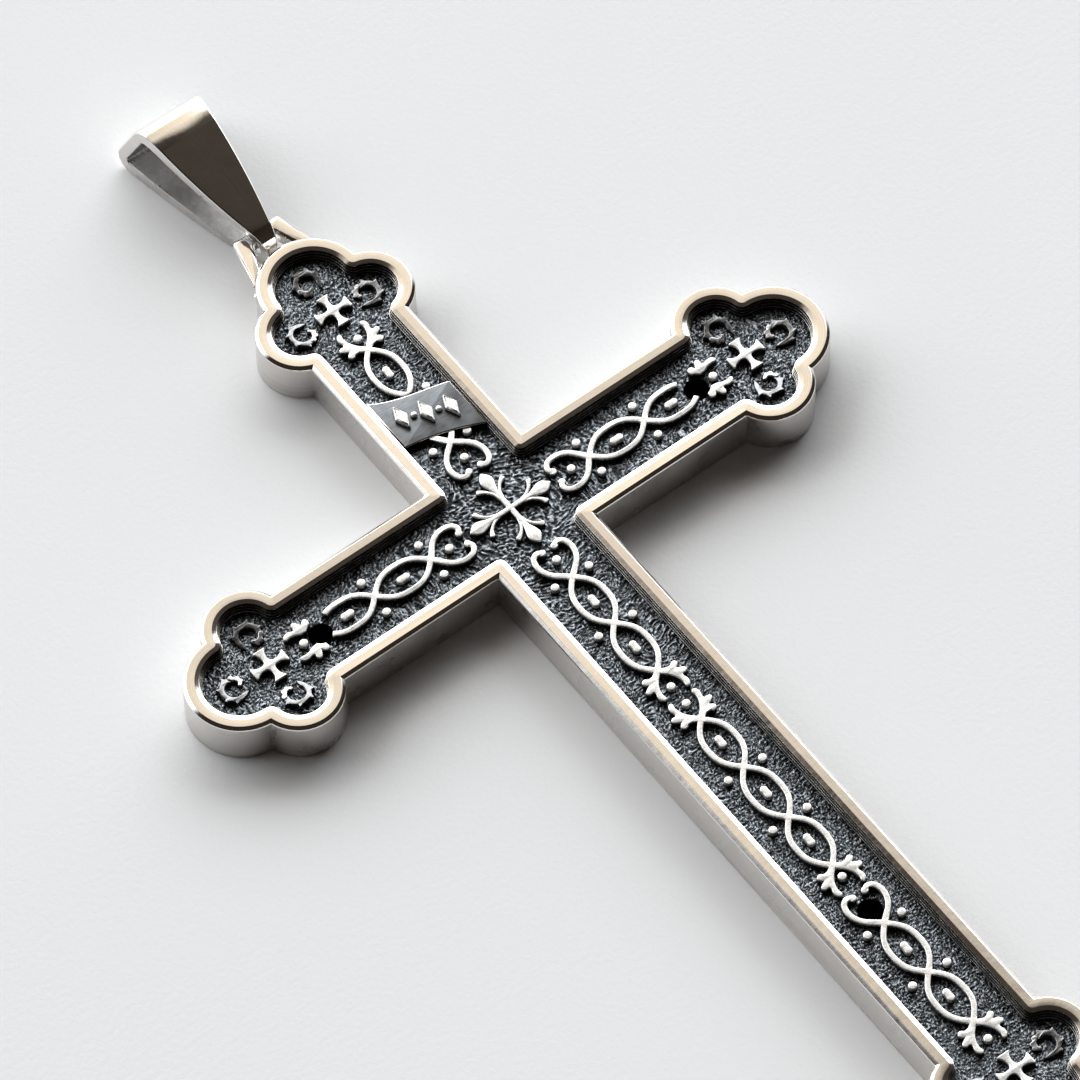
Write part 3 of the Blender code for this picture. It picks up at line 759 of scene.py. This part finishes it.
def relief_finish(name, dark_below, bright_above, bright=(0.90, 0.89, 0.87),
                  shade=(0.68, 0.68, 0.67), metallic=0.62):
    """Rubbed relief: bright on top with a faint mottle, oxidised down its sides."""
    finish = Finish(name, metallic=metallic)
    mottle = finish.noise(5.0, 4.0)
    patches = finish.noise(0.55, 3.0)
    grain = finish.noise(18.0, 3.0)
    top = finish.blend(finish.spread(mottle, 0.58, 0.80), bright, shade)
    top = finish.blend(finish.spread(patches, 0.66, 0.84), top, shade)
    worn = finish.math(
        "ADD", finish.height(), finish.math("MULTIPLY", finish.math("SUBTRACT", mottle, 0.5), 0.10)
    )
    rise = finish.spread(worn, dark_below, bright_above)
    finish.colour(finish.blend(rise, (0.020, 0.021, 0.023), top))
    finish.rough(finish.spread(mottle, 0.3, 0.7, 0.24, 0.36))
    finish.bump((grain, 0.0025), (mottle, 0.006))
    return finish.material


def plaque_finish():
    """Satin plaque, oxidised unevenly, with brushed lines along it."""
    finish = Finish("satin_plaque")
    brushed = finish.noise(5.0, 4.0, (0.25, 2.2, 1.0), 0.6)
    cloud = finish.noise(0.8, 3.0)
    finish.colour(finish.blend(
        finish.spread(finish.math("ADD", brushed, cloud), 0.75, 1.25),
        (0.125, 0.133, 0.142), (0.20, 0.210, 0.222),
    ))
    finish.rough(finish.spread(cloud, 0.3, 0.7, 0.30, 0.42))
    finish.bump((brushed, 0.006))
    return finish.material


def cast_finish():
    """Unpolished inside of the bail: grey, pitted."""
    finish = Finish("cast_inside")
    pits = finish.noise(3.2, 6.0, None, 0.7)
    cloud = finish.noise(0.8, 3.0)
    finish.colour(finish.blend(
        finish.spread(pits, 0.30, 0.70), (0.58, 0.57, 0.56), (0.74, 0.73, 0.72)
    ))
    finish.rough(finish.spread(cloud, 0.3, 0.7, 0.26, 0.38))
    finish.bump((pits, 0.010))
    return finish.material


def floor_finish():
    """Pale painted surface with a very fine tooth."""
    finish = Finish("pale_surface", metallic=0.0, roughness=0.55)
    tooth = finish.noise(3.2, 3.0, None, 0.6)
    cloud = finish.noise(0.02, 2.0)
    finish.colour(finish.blend(
        finish.spread(cloud), (0.850, 0.850, 0.852), (0.862, 0.862, 0.864)
    ))
    finish.bump((tooth, 0.015))
    return finish.material


# ---- mesh building


def build(name, verts, faces, slots, materials, uvs=None, smooth=True, weighted=True):
    """A mesh object in metres from millimetre points; slots give each face its material."""
    mesh = bpy.data.meshes.new(name)
    mesh.from_pydata([(x * MM, y * MM, z * MM) for x, y, z in verts], [], faces)
    for material in materials:
        mesh.materials.append(material)
    mesh.polygons.foreach_set("material_index", slots)
    if uvs:
        layer = mesh.uv_layers.new(name="lines")
        flat = [value * MM for pair in uvs for value in pair]
        layer.data.foreach_set("uv", flat)
    if smooth:
        mesh.shade_smooth()
    mesh.validate()
    obj = bpy.data.objects.new(name, mesh)
    bpy.context.scene.collection.objects.link(obj)
    if weighted:
        modifier = obj.modifiers.new("weighted_normal", "WEIGHTED_NORMAL")
        modifier.keep_sharp = True
    return obj


class Body:
    """Collects rings, caps and their material slots into one mesh."""

    def __init__(self):
        self.verts = []
        self.faces = []
        self.slots = []

    def ring(self, points):
        start = len(self.verts)
        self.verts += points
        return list(range(start, start + len(points)))

    def wall(self, lower, upper, slot, closed=True):
        count = len(lower)
        for i in range(0 if closed else 1, count):
            self.faces.append((lower[i - 1], lower[i], upper[i], upper[i - 1]))
            self.slots.append(slot)

    def cap(self, rings, slot, upward=True):
        loops = [[Vector((*self.verts[i][:2], 0.0)) for i in ring] for ring in rings]
        index = [i for ring in rings for i in ring]
        for a, b, c in tessellate_polygon(loops):
            p, q, r = (self.verts[index[k]] for k in (a, b, c))
            turn = (q[0] - p[0]) * (r[1] - p[1]) - (r[0] - p[0]) * (q[1] - p[1])
            if abs(turn) < 1e-12:
                continue
            order = (a, b, c) if (turn > 0) == upward else (a, c, b)
            self.faces.append(tuple(index[k] for k in order))
            self.slots.append(slot)

    def raised(self, loops, low, top, edge, steps=4, flare=0.03, bottom=False):
        """Walls, rounded edge and cap over loops; top is a height or a function of x, y."""
        height = top if callable(top) else (lambda x, y: top)
        crowns = []
        feet = []
        for number, loop in enumerate(loops):
            loop = tidy_loop(list(loop))
            if (signed_area(loop) > 0) != (number == 0):
                loop.reverse()
            profile = [(-flare, None), (0.0, 0.0)]
            profile += [(edge * (1 - cos(a)), edge * sin(a)) for a in
                        (pi / 2 * i / steps for i in range(1, steps + 1))]
            below = None
            for level, (reach, rise) in enumerate(profile):
                flat = inset(loop, reach) if reach else loop
                points = [
                    (x, y, low if rise is None else height(bx, by) - edge + rise)
                    for (x, y), (bx, by) in zip(flat, loop)
                ]
                ring = self.ring(points)
                if below:
                    self.wall(below, ring, 0 if level == 1 else 1)
                else:
                    feet.append(ring)
                below = ring
            crowns.append(below)
        self.cap(crowns, 2)
        if bottom:
            self.cap(feet, 0, upward=False)

    def build(self, name, materials, **settings):
        return build(name, self.verts, self.faces, self.slots, materials, **settings)


def on_cross(obj, slot, *nodes):
    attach(obj, "cross")
    if nodes:
        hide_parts(*nodes)


# ---- rim and ground


def make_rim(materials):
    """The rim's moulded section swept round the plan, with rubbed edges and a UV in mm."""
    corners = (
        ((INNER_WALL, 0.0), 0.0, 2),
        ((INNER_WALL, 2.22), 0.012, 3),
        ((-0.335, 2.22), 0.014, 2),
        ((-0.335, 2.43), 0.014, 3),
        ((-0.295, 2.43), 0.014, 2),
        ((-0.295, 2.64), 0.014, 3),
        ((-0.255, 2.64), 0.014, 2),
        ((-0.255, 2.840), 0.012, 0),
        ((-0.235, 2.845), 0.012, 0),
        ((0.0, RIM_TOP - 0.016), 0.160, 0),
        ((0.460, RIM_TOP), 0.055, 0),
        ((0.625, 2.765), 0.050, 0),
        ((OUTER_WALL, 2.700), 0.060, 1),
        ((OUTER_WALL, 0.0), 0.060, 1),
    )
    section = []
    slots = []
    for i, (point, radius, slot) in enumerate(corners):
        around = [corners[i - 1][0], point, corners[(i + 1) % len(corners)][0]]
        made = rounded(around, (0.0, radius, 0.0), 4)[1:-1] if radius else [point]
        section += made
        slots += [slot] * len(made)
    run = running_length(section)
    length = running_length(cross_outline(OUTER_WALL / 2))
    count = len(length) - 1
    verts = []
    for offset, height in section:
        verts += [(x, y, height) for x, y in cross_outline(offset)]
    faces = []
    face_slots = []
    uvs = []
    for j in range(len(section)):
        following = (j + 1) % len(section)
        for i in range(count):
            after = (i + 1) % count
            faces.append((
                j * count + i, following * count + i, following * count + after, j * count + after,
            ))
            face_slots.append(slots[j] if j + 1 < len(section) else 1)
            uvs += [
                (length[i], run[j]), (length[i], run[j + 1]),
                (length[i + 1], run[j + 1]), (length[i + 1], run[j]),
            ]
    rim = build("rim", verts, faces, face_slots, materials, uvs=uvs)
    on_cross(rim, "polished_silver", "cross_frame")


def pin_places():
    return ((PIN_HOLE_U, 0.0), (-PIN_HOLE_U, 0.0), (0.0, -FOOT_HOLE_U))


def make_plate(back, lining):
    """The plate under the ground, its back face and the lined pin holes."""
    body = Body()
    circles = [arc(place, PIN_HOLE_R, 0.0, 2 * pi, PIN_HOLE_STEPS)[:-1] for place in pin_places()]
    outline = cross_outline(INNER_WALL + PLATE_OVERLAP)
    body.raised([outline] + circles, 0.0, PLATE_TOP, PLATE_EDGE, 2, 0.0, bottom=True)
    for place in pin_places():
        below = None
        for reach, height in PIN_HOLE_LIP:
            circle = arc(place, PIN_HOLE_R + reach, 0.0, 2 * pi, PIN_HOLE_STEPS)[:-1]
            ring = body.ring([(x, y, height) for x, y in circle])
            if below:
                body.wall(below, ring, 3)
            below = ring
    plate = body.build("plate", [back, back, back, lining])
    on_cross(plate, "oxidised_ground", "field_plate")


def grain(x, y):
    """Height of the chased ground: short tool marks, each turned a little its own way."""
    turn = GRAIN_HEADING + GRAIN_WANDER * noise.noise(Vector((x * 0.7, y * 0.7, 5.0)))
    along = cos(turn) * x + sin(turn) * y
    across = cos(turn) * y - sin(turn) * x
    bend = 0.6 * noise.noise(Vector((x * 2.3, y * 2.3, 9.0)))
    marks = noise.noise(Vector((along * MARKS_ALONG + bend, across * MARKS_ACROSS + bend, 1.0)))
    pits = noise.noise(Vector((x * PITS_PER_MM, y * PITS_PER_MM, 2.0)))
    return FIELD_TOP + GRAIN_DEPTH * (1.3 * marks + 0.6 * pits)


def make_ground(material):
    """The chased sheet between the walls; its edges run on under the rim."""
    pieces = (
        ("ground_right", (2.3, 21.0), (-5.0, 5.0)),
        ("ground_left", (-21.0, -2.3), (-5.0, 5.0)),
        ("ground_top", (-5.0, 5.0), (2.3, 21.0)),
        ("ground_centre", (-2.3, 2.3), (-2.3, 2.3)),
        ("ground_shaft", (-5.0, 5.0), (-36.0, -2.3)),
        ("ground_foot", (-5.0, 5.0), (-48.0, -36.0)),
    )
    for name, (x0, x1), (y0, y1) in pieces:
        columns = round((x1 - x0) / GRAIN_STEP)
        rows = round((y1 - y0) / GRAIN_STEP)
        step_x, step_y = (x1 - x0) / columns, (y1 - y0) / rows
        index = {}
        verts = []
        faces = []

        def vertex(i, j):
            if (i, j) not in index:
                x, y = x0 + i * step_x, y0 + j * step_y
                for px, py in pin_places():
                    gap = hypot(x - px, y - py)
                    if gap < PIN_HOLE_R + 0.02:
                        grow = (PIN_HOLE_R + 0.02) / max(gap, 1e-6)
                        x, y = px + (x - px) * grow, py + (y - py) * grow
                index[i, j] = len(verts)
                verts.append((x, y, grain(x, y)))
            return index[i, j]

        for i in range(columns):
            for j in range(rows):
                x, y = x0 + (i + 0.5) * step_x, y0 + (j + 0.5) * step_y
                if field_reach(x, y) < -GRAIN_MARGIN:
                    continue
                if min(hypot(x - px, y - py) for px, py in pin_places()) < PIN_HOLE_R - 0.03:
                    continue
                faces.append((
                    vertex(i, j), vertex(i + 1, j), vertex(i + 1, j + 1), vertex(i, j + 1),
                ))
        sheet = build(name, verts, faces, [0] * len(faces), [material], weighted=False)
        on_cross(sheet, "oxidised_ground")


def seed_outline():
    """A capsule with a faint waist."""
    reach = SEED_HALF_LENGTH - SEED_HALF_WIDTH
    end = arc((reach, 0.0), SEED_HALF_WIDTH, radians(-112), radians(112), 16)
    return end + [(-x, -y) for x, y in end]


def make_beads(materials):
    body = Body()
    disc = arc((0.0, 0.0), BEAD_R, 0.0, 2 * pi, 24)[:-1]
    seed = seed_outline()
    arms = (
        (0, SIDE_BEADS, SIDE_PAIRS, SIDE_SEEDS),
        (180, SIDE_BEADS, SIDE_PAIRS, SIDE_SEEDS),
        (90, TOP_BEADS, TOP_PAIRS, TOP_SEEDS),
        (-90, SHAFT_BEADS, SHAFT_PAIRS, SHAFT_SEEDS),
    )
    for turn, singles, pairs, seeds in arms:
        row = [(u, 0.0) for u in singles]
        row += [(u, side * BEAD_PAIR_V) for u in pairs for side in (1, -1)]
        for place in turned(row, radians(turn)):
            body.raised([moved(disc, place)], RELIEF_BASE, BEAD_TOP, BEAD_EDGE, 5)
        for u in seeds:
            loop = turned(moved(seed, (u, 0.0)), radians(turn))
            body.raised([loop], RELIEF_BASE, BEAD_TOP, BEAD_EDGE, 5)
    low_bead = moved(disc, TOP_SINGLE_BEAD)
    body.raised([low_bead], RELIEF_BASE, BEAD_TOP - BEAD_SUNK, BEAD_EDGE, 5)
    on_cross(body.build("beads", materials), "raised_silver")


# ---- relief


def make_scroll(name, pieces, materials, *nodes):
    """One piece of scrollwork from lists of loops: strands flat on top with a rubbed edge."""
    body = Body()
    for loops in pieces:
        body.raised(loops, RELIEF_BASE, RELIEF_TOP, RELIEF_EDGE)
    on_cross(body.build(name, materials), "raised_silver", *nodes)


def make_side_scrolls(materials):
    for side, sign in (("right", 1), ("left", -1)):
        pieces = [[[(sign * u, v) for u, v in loop] for loop in drilled_scroll()]]
        for flip in (1, -1):
            pieces.append([[(sign * u, flip * v) for u, v in drilled_leaf()]])
        make_scroll(
            f"scrollwork_{side}", pieces, materials,
            f"scroll_{side}", f"leaf_{side}_upper", f"leaf_{side}_lower",
        )


def make_long_scrolls(materials):
    top = [[turned(loop, pi / 2) for loop in loops]
           for loops in (top_inner_scroll(), top_outer_scroll())]
    make_scroll("scrollwork_top", top, materials, "scroll_top_inner", "scroll_top_outer")
    upper, middle, lower = SHAFT_UPPER_CROSSINGS, SHAFT_MIDDLE_CROSSINGS, SHAFT_LOWER_CROSSINGS
    rising = list(reversed(leaf_half(middle[0], -1)))
    scrolls = (
        ("upper", closed_scroll(upper, heart_half(upper[0]), leaf_half(upper[-1], 1))),
        ("middle", closed_scroll(middle, rising, leaf_half(middle[-1], 1))),
        ("lower", closed_scroll(lower, heart_half(lower[0]), leaf_half(lower[-1], 1))),
    )
    for name, loops in scrolls:
        pieces = [[turned(loop, -pi / 2) for loop in loops]]
        make_scroll(f"scrollwork_{name}", pieces, materials, f"scroll_shaft_{name}")


def strip_outline(stations):
    """The outline of a strip along (u, v, half width) stations."""
    path = [(u, v) for u, v, _ in stations]
    left = [beside(path, half)[i] for i, (_, _, half) in enumerate(stations)]
    right = [beside(path, -half)[i] for i, (_, _, half) in enumerate(stations)]
    return left + list(reversed(right))


def make_fleuron(materials):
    """Centre ornament: four petals on stems, each between two tendrils."""
    body = Body()
    widths = [(u, half) for u, _, half in smooth_path(PETAL, 6) if u > FLEURON_STEM]
    corner = (FLEURON_STEM, FLEURON_STEM)
    petals = four_armed([corner] + widths[:-1], PETAL[-1][0])
    body.raised([petals], RELIEF_BASE, FLEURON_TOP, PETAL_EDGE, 5)
    tendril = strip_outline(smooth_path(TENDRIL, 6))
    for turn in (0, 90, 180, 270):
        for strip in (tendril, mirrored(tendril)):
            loop = turned(strip, radians(turn))
            body.raised([loop], RELIEF_BASE, FLEURON_TOP - 0.02, TENDRIL_EDGE)
    fleuron = body.build("fleuron", materials)
    on_cross(fleuron, "raised_silver", "centre_fleuron")


def make_trefoil_ornaments(materials, crescent_materials, head_materials):
    """A small cross patee and three thorned crescents in each trefoil."""
    arms = (
        ("right", 0, ARM, 1), ("left", 0, -ARM, -1), ("top", 90, ARM, 1), ("foot", -90, FOOT, 1),
    )
    crescents = (
        ("end", CRESCENT_END_U, 0.0),
        ("side_a", CRESCENT_SIDE_U, CRESCENT_SIDE_V),
        ("side_b", CRESCENT_SIDE_U, -CRESCENT_SIDE_V),
    )
    for arm, turn, length, sign in arms:
        middle = turned([(length, 0.0)], radians(turn))[0]
        patee = Body()
        patee.raised([moved(patee_outline(), middle)], RELIEF_BASE, RELIEF_TOP, PATEE_EDGE)
        on_cross(patee.build(f"small_cross_{arm}", materials), "raised_silver", f"patee_{arm}")
        body = Body()
        heads = Body()
        nodes = []
        for name, u, v in crescents:
            opening = direction((u, v), (0.0, 0.0))

            def placed(points):
                across = moved(turned(points, opening), (u, v))
                across = [(sign * x, y) for x, y in across]
                return moved(turned(across, radians(turn)), middle)

            heart_x, heart_y = placed([(0.0, 0.0)])[0]
            toward = direction((heart_x, heart_y), middle)

            def top(x, y):
                inward = (x - heart_x) * cos(toward) + (y - heart_y) * sin(toward)
                return CRESCENT_TOP - CRESCENT_LEAN * inward

            def head_top(x, y):
                return top(x, y) + CRESCENT_HEAD_RISE

            body.raised([placed(crescent_outline())], RELIEF_BASE, top, CRESCENT_EDGE, 3)
            crest = placed(crescent_head_outline())
            heads.raised([crest], RELIEF_BASE, head_top, CRESCENT_HEAD_EDGE)
            nodes.append(f"crescent_{arm}_{name}")
        on_cross(body.build(f"crescents_{arm}", crescent_materials), "raised_silver", *nodes)
        on_cross(heads.build(f"crescent_heads_{arm}", head_materials), "raised_silver")


def make_plaque(plate_materials, ornament_materials):
    body = Body()
    body.raised([plaque_outline()], RELIEF_BASE, PLAQUE_TOP, PLAQUE_EDGE, 5, 0.0)
    on_cross(body.build("name_plaque", plate_materials), "satin_plaque", "plaque")
    ornament = Body()
    width, height = LOZENGE_HALF_WIDTH, LOZENGE_HALF_HEIGHT
    corners = [(width, 0.0), (0.0, height), (-width, 0.0), (0.0, -height)]
    lozenge = rounded(corners, (0.07, 0.05, 0.07, 0.05), 5, closed=True)
    for centre in LOZENGE_CENTRES:
        stone = moved(lozenge, centre)
        ornament.raised([stone], ORNAMENT_BASE, LOZENGE_TOP, LOZENGE_EDGE, 6, 0.02)
    for centre in PEARL_CENTRES:
        pearl = arc(centre, PEARL_R, 0.0, 2 * pi, 28)[:-1]
        ornament.raised([pearl], ORNAMENT_BASE, PEARL_TOP, PEARL_EDGE, 7, 0.02)
    built = ornament.build("plaque_ornament", ornament_materials)
    on_cross(built, "raised_silver", "lozenge_1", "lozenge_2", "lozenge_3")


# ---- lug and bail


def make_lug(material):
    """The loop on the top lobe, rounded on every edge."""
    loop = tidy_loop(lug_outline())
    if signed_area(loop) < 0:
        loop.reverse()
    low, high = LUG_Z
    body = Body()
    bends = [pi / 2 * i / LUG_EDGE_STEPS for i in range(LUG_EDGE_STEPS + 1)]
    levels = [(LUG_EDGE * (1 - sin(a)), low + LUG_EDGE * (1 - cos(a))) for a in bends]
    levels += [(LUG_EDGE * (1 - cos(a)), high - LUG_EDGE * (1 - sin(a))) for a in bends]
    rings = [body.ring([(x, y, z) for x, y in inset(loop, reach)]) for reach, z in levels]
    for lower, upper in zip(rings, rings[1:]):
        body.wall(lower, upper, 0)
    body.cap([rings[-1]], 0)
    body.cap([rings[0]], 0, upward=False)
    on_cross(body.build("lug", [material]), "polished_silver", "top_lug")


def bail_half_width(y, z):
    """Half the strap's width, which grows towards the open end and towards the back."""
    run = y - BAIL_WIDTH_Y
    splay = BAIL_SPLAY * (1 - z / BAIL_HEIGHT)
    return BAIL_HALF_WIDTH + run * (BAIL_TAPER - BAIL_BULGE * run + splay)


def bail_loop(rounds):
    """The closed belt round a few circles (y, z, radius), counter-clockwise."""
    heads = []
    for (y, z, radius), (next_y, next_z, next_radius) in zip(rounds, rounds[1:] + rounds[:1]):
        gap = hypot(next_y - y, next_z - z)
        lean = asin((radius - next_radius) / gap)
        heads.append(direction((y, z), (next_y, next_z)) - pi / 2 + lean)
    corners = []
    for i, (y, z, radius) in enumerate(rounds):
        sweep = (heads[i] - heads[i - 1]) % (2 * pi)
        corners.append(arc((y, z), radius, heads[i - 1], heads[i - 1] + sweep, BAIL_ARC_STEPS))
    points = []
    for corner, following in zip(corners, corners[1:] + corners[:1]):
        points += corner
        (y0, z0), (y1, z1) = corner[-1], following[0]
        for i in range(1, BAIL_STRAIGHT_STEPS):
            t = i / BAIL_STRAIGHT_STEPS
            points.append((y0 + (y1 - y0) * t, z0 + (z1 - z0) * t))
    return points


def make_bail(materials):
    """A strap swept round the lug's bar and the wide end, with broken edges."""
    outside = bail_loop([(y, z, radius) for y, z, radius, _ in BAIL_ROUNDS])
    inside = bail_loop([(y, z, radius - strap) for y, z, radius, strap in BAIL_ROUNDS])
    edges = (BAIL_EDGE, BAIL_EDGE, BAIL_INNER_EDGE, BAIL_INNER_EDGE)
    runs = running_length(outside)
    rings = []
    across = []
    depths = []
    for (y0, z0), (y1, z1) in zip(outside, inside):
        thick = hypot(y1 - y0, z1 - z0)
        outer_half, inner_half = bail_half_width(y0, z0), bail_half_width(y1, z1)
        corners = (
            (-outer_half, 0.0), (outer_half, 0.0), (inner_half, thick), (-inner_half, thick),
        )
        section = rounded(corners, edges, 4, closed=True)
        rings.append([
            (x, y0 + (y1 - y0) * depth / thick, z0 + (z1 - z0) * depth / thick)
            for x, depth in section
        ])
        across.append([x for x, _ in section])
        depths.append([depth / thick for _, depth in section])
    count = len(rings[0])
    verts = [point for ring in rings for point in ring]
    faces = []
    slots = []
    uvs = []
    for j in range(len(rings)):
        following = (j + 1) % len(rings)
        for i in range(count):
            after = (i + 1) % count
            faces.append((
                j * count + i, j * count + after, following * count + after, following * count + i,
            ))
            depth = (depths[j][i] + depths[j][after]) / 2
            slots.append(0 if depth < 0.13 else 1 if depth < 0.88 else 2)
            x0, x1 = across[j][i], across[j][after]
            uvs += [(runs[j], x0), (runs[j], x1), (runs[j + 1], x1), (runs[j + 1], x0)]
    bail = build("bail_strap", verts, faces, slots, materials, uvs=uvs)
    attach(bail, "bail")
    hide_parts("bail")


# ---- surroundings


FLOOR_REACH = 900.0


def make_floor(material):
    reach = FLOOR_REACH
    verts = [(x * reach, y * reach, 0.0) for x, y in ((-1, -1), (1, -1), (1, 1), (-1, 1))]
    floor = build("floor", verts, [(0, 1, 2, 3)], [0], [material], smooth=False, weighted=False)


# The room: the heading of the window, how far from it each part fades, and the radiance by
# elevation, as a share of the right angle from the horizon to the zenith.
WINDOW = (0.208, 0.978)
WINDOW_EDGE = (0.15, 0.65)
BAND_EDGE = (0.70, 0.90)
ROOM_STRENGTH = 4.42
WINDOW_SIDE = (
    (0.00, (0.40, 0.41, 0.42)),
    (0.16, (0.53, 0.545, 0.56)),
    (0.24, (0.946, 0.973, 1.00)),
    (0.53, (0.946, 0.965, 0.985)),
    (0.60, (0.020, 0.017, 0.014)),
    (1.00, (0.003, 0.0025, 0.002)),
)
WINDOW_MIDDLE = (
    (0.000, (0.40, 0.41, 0.42)),
    (0.160, (0.53, 0.545, 0.56)),
    (0.240, (0.946, 0.973, 1.00)),
    (0.530, (0.946, 0.965, 0.970)),
    (0.575, (0.260, 0.235, 0.195)),
    (0.610, (0.238, 0.208, 0.168)),
    (0.690, (0.172, 0.154, 0.130)),
    (0.755, (0.012, 0.0095, 0.008)),
    (1.000, (0.003, 0.0025, 0.002)),
)
CAMERA_SIDE = (
    (0.00, (0.008, 0.006, 0.0045)),
    (0.50, (0.006, 0.0045, 0.0035)),
    (1.00, (0.003, 0.0025, 0.002)),
)


def make_world():
    """A room: a wide bright window low behind the object, a cream band over it, dark above."""
    world = bpy.data.worlds.new("room")
    room = Nodes(world)
    math = room.math

    def ramp(factor, stops):
        node = room.tree.nodes.new("ShaderNodeValToRGB")
        room.link(factor, node.inputs[0])
        elements = node.color_ramp.elements
        while len(elements) < len(stops):
            elements.new(0.5)
        for element, (position, colour) in zip(elements, stops):
            element.position = position
            element.color = (*colour, 1.0)
        return node.outputs[0]

    x, y, z = room.node("ShaderNodeSeparateXYZ", Vector=room.place.outputs["Generated"]).outputs
    elevation = math("DIVIDE", math("ARCSINE", z), pi / 2, clamp=True)
    level = math("SQRT", math("MAXIMUM", math("SUBTRACT", 1.0, math("MULTIPLY", z, z)), 1e-6))
    facing = math("ADD", math("MULTIPLY", x, WINDOW[0]), math("MULTIPLY", y, WINDOW[1]))
    facing = math("DIVIDE", facing, level)
    side, middle, near = (
        ramp(elevation, stops) for stops in (WINDOW_SIDE, WINDOW_MIDDLE, CAMERA_SIDE)
    )
    window = room.blend(room.spread(facing, *BAND_EDGE), side, middle)
    colour = room.blend(room.spread(facing, *WINDOW_EDGE), near, window)
    background = room.tree.nodes["Background"]
    room.link(colour, background.inputs["Color"])
    background.inputs["Strength"].default_value = ROOM_STRENGTH
    bpy.context.scene.world = world


def make_camera():
    data = bpy.data.cameras.new("camera")
    data.sensor_width = 36.0
    data.lens = 263.74
    data.clip_start = 0.01
    data.clip_end = 20.0
    camera = bpy.data.objects.new("camera", data)
    bpy.context.scene.collection.objects.link(camera)
    right = Vector((0.79580, -0.60535, -0.01599))
    up = Vector((0.52183, 0.67211, 0.52532))
    back = Vector((-0.30726, -0.42639, 0.85075))
    turn = Matrix((right, up, back)).transposed().to_4x4()
    camera.matrix_world = Matrix.Translation((-0.12993, -0.18292, 0.36225)) @ turn
    bpy.context.scene.camera = camera


# ---- assembly


def main():
    polished = polished_finish()
    wall = satin_wall_finish()
    moulding = ledge_finish()
    dark_wall = oxidised_wall_finish()
    ground = ground_finish()
    relief = relief_finish("rubbed_relief", 2.34, 2.47)
    bead = relief_finish("rubbed_beads", 2.18, 2.31)
    # Painted shade: the crescents' tops get a dark grey in place of the bright silver of the other
    # relief, standing in for the shade and dark reflections they lie in; their sides keep the
    # relief finish's oxidised patina.
    crescent = relief_finish(
        "crescents_rubbed_and_painted_dark", 2.13, 2.25, (0.27, 0.27, 0.275), (0.20, 0.20, 0.205), 1.0
    )
    # Painted light and shade: the crests get a grey lighter than the rings, standing in for the
    # light that catches them, yet darker than the other relief's silver, standing in for shade;
    # their sides keep the oxidised patina.
    head = relief_finish(
        "crescent_heads_rubbed_and_painted_grey", 2.20, 2.34, (0.50, 0.50, 0.50), (0.34, 0.34, 0.34), 1.0
    )
    ornament = relief_finish("plaque_relief", 2.64, 2.78)
    satin = plaque_finish()
    cast = cast_finish()

    make_rim([polished, wall, dark_wall, moulding])
    make_plate(wall, dark_wall)
    make_ground(ground)
    make_beads([bead] * 3)
    make_side_scrolls([relief] * 3)
    make_long_scrolls([relief] * 3)
    make_fleuron([relief] * 3)
    make_trefoil_ornaments([relief] * 3, [crescent] * 3, [head] * 3)
    make_plaque([dark_wall, polished, satin], [ornament] * 3)
    make_lug(polished)
    make_bail([polished, wall, cast])
    make_floor(floor_finish())
    make_world()
    make_camera()
    bpy.context.scene.view_settings.view_transform = "Standard"


main()
